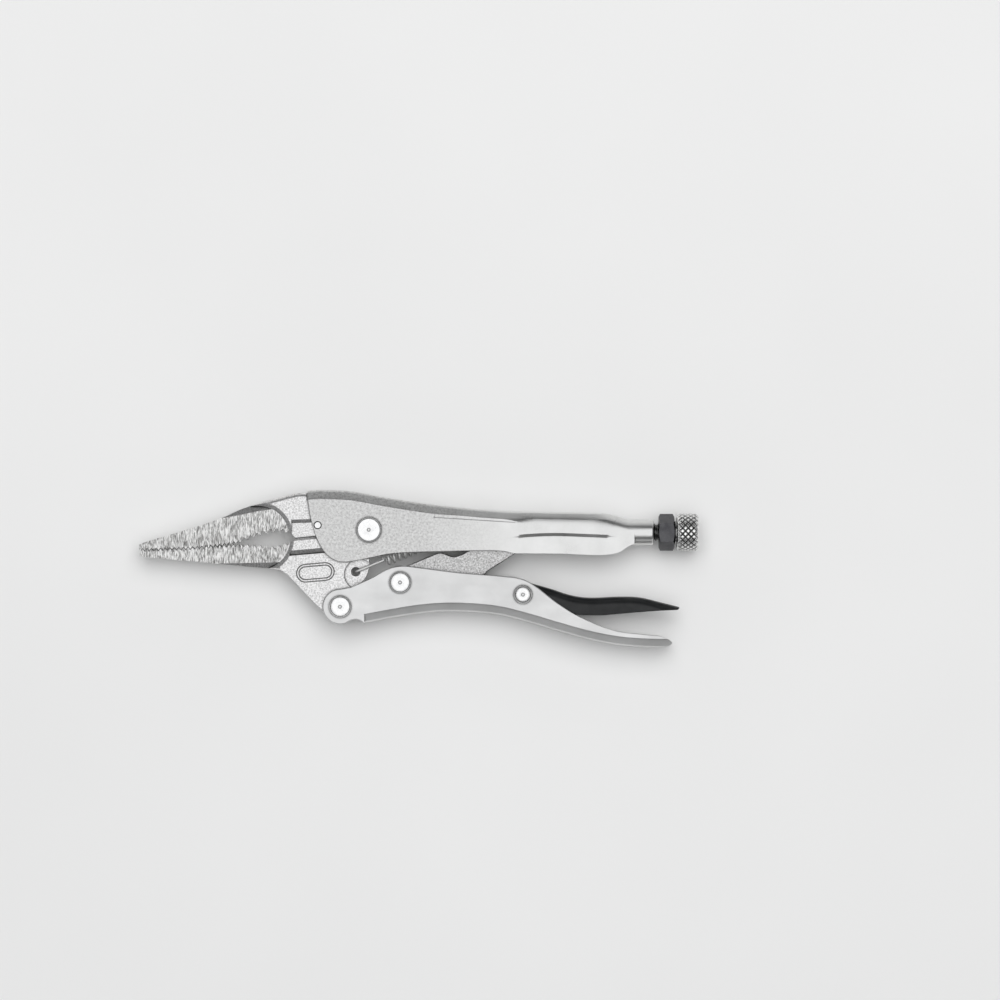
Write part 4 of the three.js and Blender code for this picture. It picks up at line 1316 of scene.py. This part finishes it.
place(upper_handle(), "handle_shell", "handle", PLATED, "upper_handle")
place(upper_jaw(), "upper_jaw_forging", "handle", FORGED, "upper_jaw")
place(lower_jaw(), "lower_jaw_forging", "jaw", FORGED, "lower_jaw")
place(lever_piece(), "lever_shell", "lever", SATIN, "lever")
place(release_lever(), "release_lever_pressing", "release", BLACK, "release_lever")
place(toggle_link(), "toggle_link_plate", "link", SANDED, "toggle_link")
for node, body, centre, shank, head in (
    ("main_rivet", "handle", (0, 0), 2.5, 3.55), ("lever_rivet", "jaw", LEVER_PIVOT, 2.1, 3.1),
    ("link_rivet", "lever", LINK_PIVOT, 2.1, 3.05),
    ("release_rivet", "lever", RELEASE_PIVOT, 1.7, 2.6),
):
    place(rivet(centre, shank, head), node + "_turned", body, RIVET, node)
place(pin(), "locating_pin_turned", "handle", RIVET, "jaw_locating_pin")
place(screw(), "screw_thread", "screw", SCREW, "adjusting_screw")
place(knob(), "knob_knurled", "knob", KNURL, "adjusting_knob")
place(lock_nut(), "lock_nut_hex", "nut", NUT, "lock_nut")
coil = place(spring(), "spring_coil", None, WIRE, "tension_spring")


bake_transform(coil)

# ---- Floor, light and camera ----


def floor():
    half, steps = 1.6, 24
    verts = [
        (lerp(-half, half, i / steps), lerp(-half, half, j / steps), 0.0)
        for j in range(steps + 1)
        for i in range(steps + 1)
    ]
    faces = []
    for j in range(steps):
        for i in range(steps):
            a = j * (steps + 1) + i
            faces.append((a, a + 1, a + steps + 2, a + steps + 1))
    mesh = bpy.data.meshes.new("floor")
    mesh.from_pydata(verts, [], faces)
    piece = bpy.data.objects.new("floor", mesh)
    piece.location.z = -0.0001  # just below the part
    bpy.context.scene.collection.objects.link(piece)
    mesh.materials.append(floor_paint())


def floor_wash(place_at, aim, size, power):
    """A soft light for the floor that stays out of the metal's reflections."""
    data = bpy.data.lights.new("floor_wash", "AREA")
    data.energy = power
    data.size = size
    lamp = bpy.data.objects.new("floor_wash", data)
    lamp.location = place_at
    lamp.rotation_euler = (aim - Vector(place_at)).to_track_quat("-Z", "Y").to_euler()
    lamp.visible_glossy = False
    bpy.context.scene.collection.objects.link(lamp)


floor()
middle = (CAD_BOX[0] + CAD_BOX[1]) / 2
floor_wash(place_at=(0.1, 0.5, 1.4), aim=middle, size=1.4, power=15)


def studio_dome():
    """A soft overhead light, a dark gap round it, and grey walls down to the horizon."""
    world = bpy.data.worlds.new("studio")
    bpy.context.scene.world = world
    world.use_nodes = True
    tree = world.node_tree
    where = tree.nodes.new("ShaderNodeTexCoord")
    split = tree.nodes.new("ShaderNodeSeparateXYZ")
    ramp = tree.nodes.new("ShaderNodeValToRGB")
    ramp.color_ramp.interpolation = "EASE"
    stops = ramp.color_ramp.elements
    strength, tint = 1.3, (0.985, 0.99, 1.0)
    # (height of the direction, brightness)
    levels = (
        (0.0, 0.46), (0.37, 0.40), (0.47, 0.06), (0.76, 0.04), (0.86, 0.8), (0.92, 1.0),
        (1.0, 0.85),
    )
    for i, (at, level) in enumerate(levels):
        stop = stops[i] if i < 2 else stops.new(at)
        stop.position = at
        stop.color = (*(level * share for share in tint), 1)
    tree.links.new(where.outputs["Generated"], split.inputs["Vector"])
    tree.links.new(split.outputs["Z"], ramp.inputs["Fac"])
    back = tree.nodes["Background"]
    back.inputs["Strength"].default_value = strength
    tree.links.new(ramp.outputs["Color"], back.inputs["Color"])


studio_dome()

LENS = 150
SENSOR = 36
VIEW_WIDTH = 0.2807  # metres across the picture
VIEW_CENTRE = (0.02281, 0.01938)
camera_data = bpy.data.cameras.new("camera")
camera_data.lens = LENS
camera_data.sensor_width = SENSOR
camera = bpy.data.objects.new("camera", camera_data)
camera.location = (*VIEW_CENTRE, VIEW_WIDTH * LENS / SENSOR + CAD_BOX[1].z)
bpy.context.scene.collection.objects.link(camera)
bpy.context.scene.camera = camera
bpy.context.scene.view_settings.view_transform = "Standard"

bpy.context.view_layer.update()
